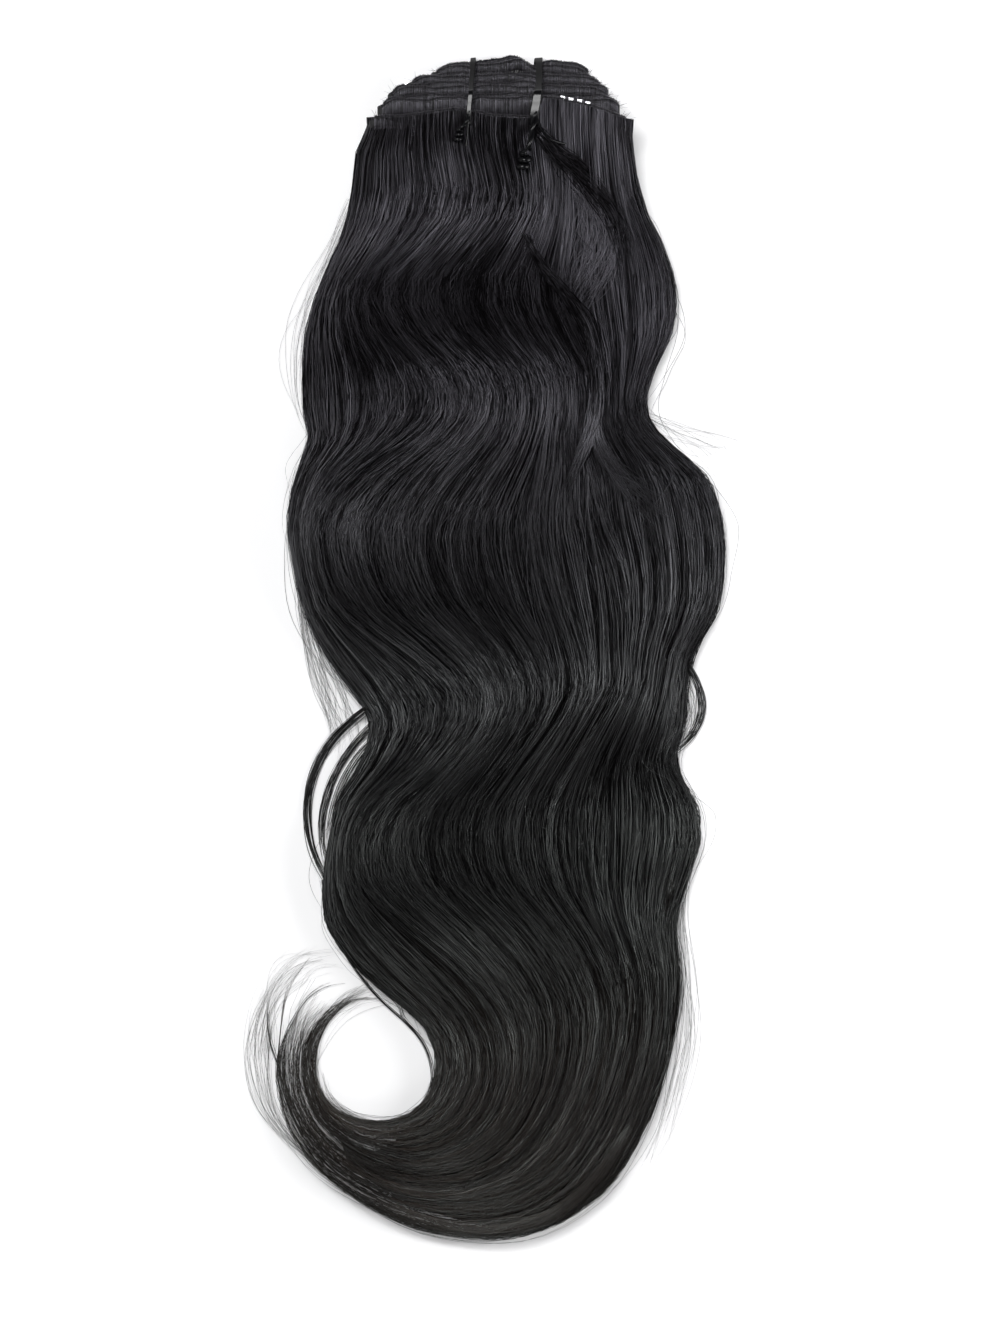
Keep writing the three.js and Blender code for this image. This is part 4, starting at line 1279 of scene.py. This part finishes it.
# %% Tufts at the cut ends
def tufts(count, points=7):
    """Short stubs that fan out at both ends of every band."""
    t = np.linspace(0, 1, points)[None, :]
    made = []
    for index, (left, right, edge, sag, top) in enumerate(BANDS):
        for x, side in ((-left, -1), (right, 1)):
            start_x = x - side * rng.uniform(0.0, 2.5, (count, 1))
            turn = rng.uniform(-0.5, 1.5, (count, 1))
            length = rng.gamma(3.0, 0.7, (count, 1))
            base = band_edge(index, start_x, 0) - 0.8
            flat_x = start_x + side * np.cos(turn) * length * t + rng.normal(0, 0.3, (count, 1)) * t**2
            flat_y = base + np.sin(turn) * length * t + rng.normal(0, 0.3, (count, 1)) * t**2
            z = top - TAPE_TOP - rng.uniform(0, 2.0, (count, 1)) + 0.5 * t
            made.append(np.stack([flat_x, flat_y, z + np.zeros_like(flat_x)], axis=-1))
    return np.concatenate(made)


stubs = tufts(16)
taper = 1 - 0.6 * np.linspace(0, 1, stubs.shape[1])[None, :]
show(strands("hair_stubs_at_bands", stubs, rng.uniform(0.07, 0.13, (len(stubs), 1)) * taper, 0.5, 0.0))

# %% [markdown]
# ## Flyaways
# Single hairs stand off the outline, cross the locks and end free. They are thinner than the strands,
# which each stand for several hairs.

# %% Flyaways beside and on the pile
def flyaways(count, points=22):
    """Single hairs beside the pile and on it."""
    t = np.linspace(0, 1, points)[None, :]
    beside = rng.uniform(0, 1, (count, 1)) < 0.62
    left = rng.uniform(0, 1, (count, 1)) < 0.5
    edge = np.where(left, rng.uniform(0.01, 0.09, (count, 1)), rng.uniform(0.91, 0.99, (count, 1)))
    middle = rng.uniform(0.12, 0.88, (count, 1))
    start = rng.uniform(1.5, CAD_END - 4, (count, 1))
    length = rng.uniform(1.8, 6.0, (count, 1))
    row = np.minimum(start + t * length, LAST_ROW)
    free = rng.uniform(0, 1, (count, 1)) < 0.45
    bulge = np.where(free, t**1.6, np.sin(np.pi * t)) * rng.gamma(1.6, 1.6, (count, 1))
    out = np.where(beside, np.minimum(bulge, 8.0), 0.9 + 0.5 * np.minimum(bulge, 3.0)) - 0.2
    place = np.where(beside, edge, middle) + drift(count, t, (0.5, 1.1), 0.018)
    paths = on_pile(np.clip(place, 0.004, 0.996), row, out)
    paths[..., 0:2] += drift(count, t, (0.6, 1.4), 0.9)[..., None] * np.where(beside, 0.5, 1.0)[..., None]
    radius = rng.uniform(0.05, 0.10, (count, 1)) * (1 - 0.6 * ramp(t, 0.6, 1.0))
    tone = np.broadcast_to(rng.uniform(0.3, 1.0, (count, 1)), row.shape)
    tip = np.broadcast_to(0.5 * ramp(row, LAST_ROW - 8, LAST_ROW), row.shape)
    return paths, radius, tone, tip


show(strands("hair_flyaways", *flyaways(460)))

# %% [markdown]
# ## Table
# The bundle lies on a sheet of white paper, which glows a little, so that it stays white in the picture.

# %% White table
TABLE_HALF = 3000.0
UNDER_HAIR_BY = 0.05     # the sheet's top lies this far under the frame's zero, in millimetres
PAPER_GLOW = 0.10


def white_table():
    """A flat sheet that belongs to the stage and not to the object."""
    material, tree, output = new_material("white_paper_sheet")
    shader = add(
        tree, "ShaderNodeBsdfPrincipled",
        values={"Base Color": linear("f7f7f8"), "Roughness": 0.9, "Emission Color": (1, 1, 1, 1),
                "Emission Strength": PAPER_GLOW},
    )
    tree.links.new(shader.outputs["BSDF"], output.inputs["Surface"])
    corners = np.array([[-1, -1, 0], [1, -1, 0], [1, 1, 0], [-1, 1, 0]]) * TABLE_HALF - [0, 0, UNDER_HAIR_BY]
    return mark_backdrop(mesh_object("table", corners, [[0, 1, 2, 3]], material=material, smooth=False))


white_table()
print("table:", 2 * TABLE_HALF * MM, "m wide")

# %% [markdown]
# ## Light
# The main light is a softbox on the side of the bands, which puts the sheen on every stretch of hair that
# rises away from it. A second one stands on the right, and two weak ones fill in from the left and from
# the tips.

# %% Softboxes and the room's own light
def softbox(name, place, aim, size, power):
    """A rectangular lamp at a place in millimetres, turned to what it aims at."""
    data = bpy.data.lights.new(name, "AREA")
    data.shape = "RECTANGLE"
    data.size, data.size_y = size[0] * MM, size[1] * MM
    data.energy = power
    lamp = bpy.data.objects.new(name, data)
    lamp.location = (np.array(place) + ORIGIN) * MM
    direction = (np.array(aim) - np.array(place)) * MM
    lamp.rotation_euler = Vector(direction).to_track_quat("-Z", "Y").to_euler()
    bpy.context.scene.collection.objects.link(lamp)


middle = (0, -220, 0)
softbox("key_from_upper_left", (-260, 330, 1350), middle, (700, 420), 18)
softbox("side_from_right", (1300, -250, 650), middle, (600, 900), 16)
softbox("fill_from_left", (-1300, -200, 800), middle, (700, 1100), 3)
softbox("fill_from_the_tips", (-100, -1500, 900), middle, (900, 500), 3.5)

world = bpy.data.worlds.new("studio")
world.use_nodes = True
world.node_tree.nodes["Background"].inputs["Color"].default_value = (1, 1, 1, 1)
world.node_tree.nodes["Background"].inputs["Strength"].default_value = 0.06
bpy.context.scene.world = world

# %% [markdown]
# ## Camera
# The camera hangs straight above and takes in 396 mm by 528 mm. It hangs high, because the photograph
# shows no side of the pile, and its long lens keeps the picture as wide.

# %% Camera
FRAME_WIDTH = 396.0
VIEW_CENTRE = (-2.0, -219.8)
CAMERA_HEIGHT = 6000.0
camera_data = bpy.data.cameras.new("camera")
camera_data.sensor_fit = "HORIZONTAL"
camera_data.sensor_width = 36.0
camera_data.lens = camera_data.sensor_width * CAMERA_HEIGHT / FRAME_WIDTH
camera = bpy.data.objects.new("camera", camera_data)
camera.location = (np.array([*VIEW_CENTRE, CAMERA_HEIGHT]) + ORIGIN) * MM
bpy.context.scene.collection.objects.link(camera)
bpy.context.scene.camera = camera
bpy.context.scene.view_settings.view_transform = "Standard"
print("lens:", round(camera_data.lens, 1), "mm")

# %% [markdown]
# ## Sizes
# The count of triangles shows whether the hair stays light enough to load.

# %% Sizes and the end
triangles = {
    obj.name: sum(len(face.vertices) - 2 for face in obj.data.polygons)
    for obj in bpy.data.objects if obj.type == "MESH" and obj.name not in frame["nodes"]
}
print("triangles:", sum(triangles.values()), "largest piece:", max(triangles.values()))
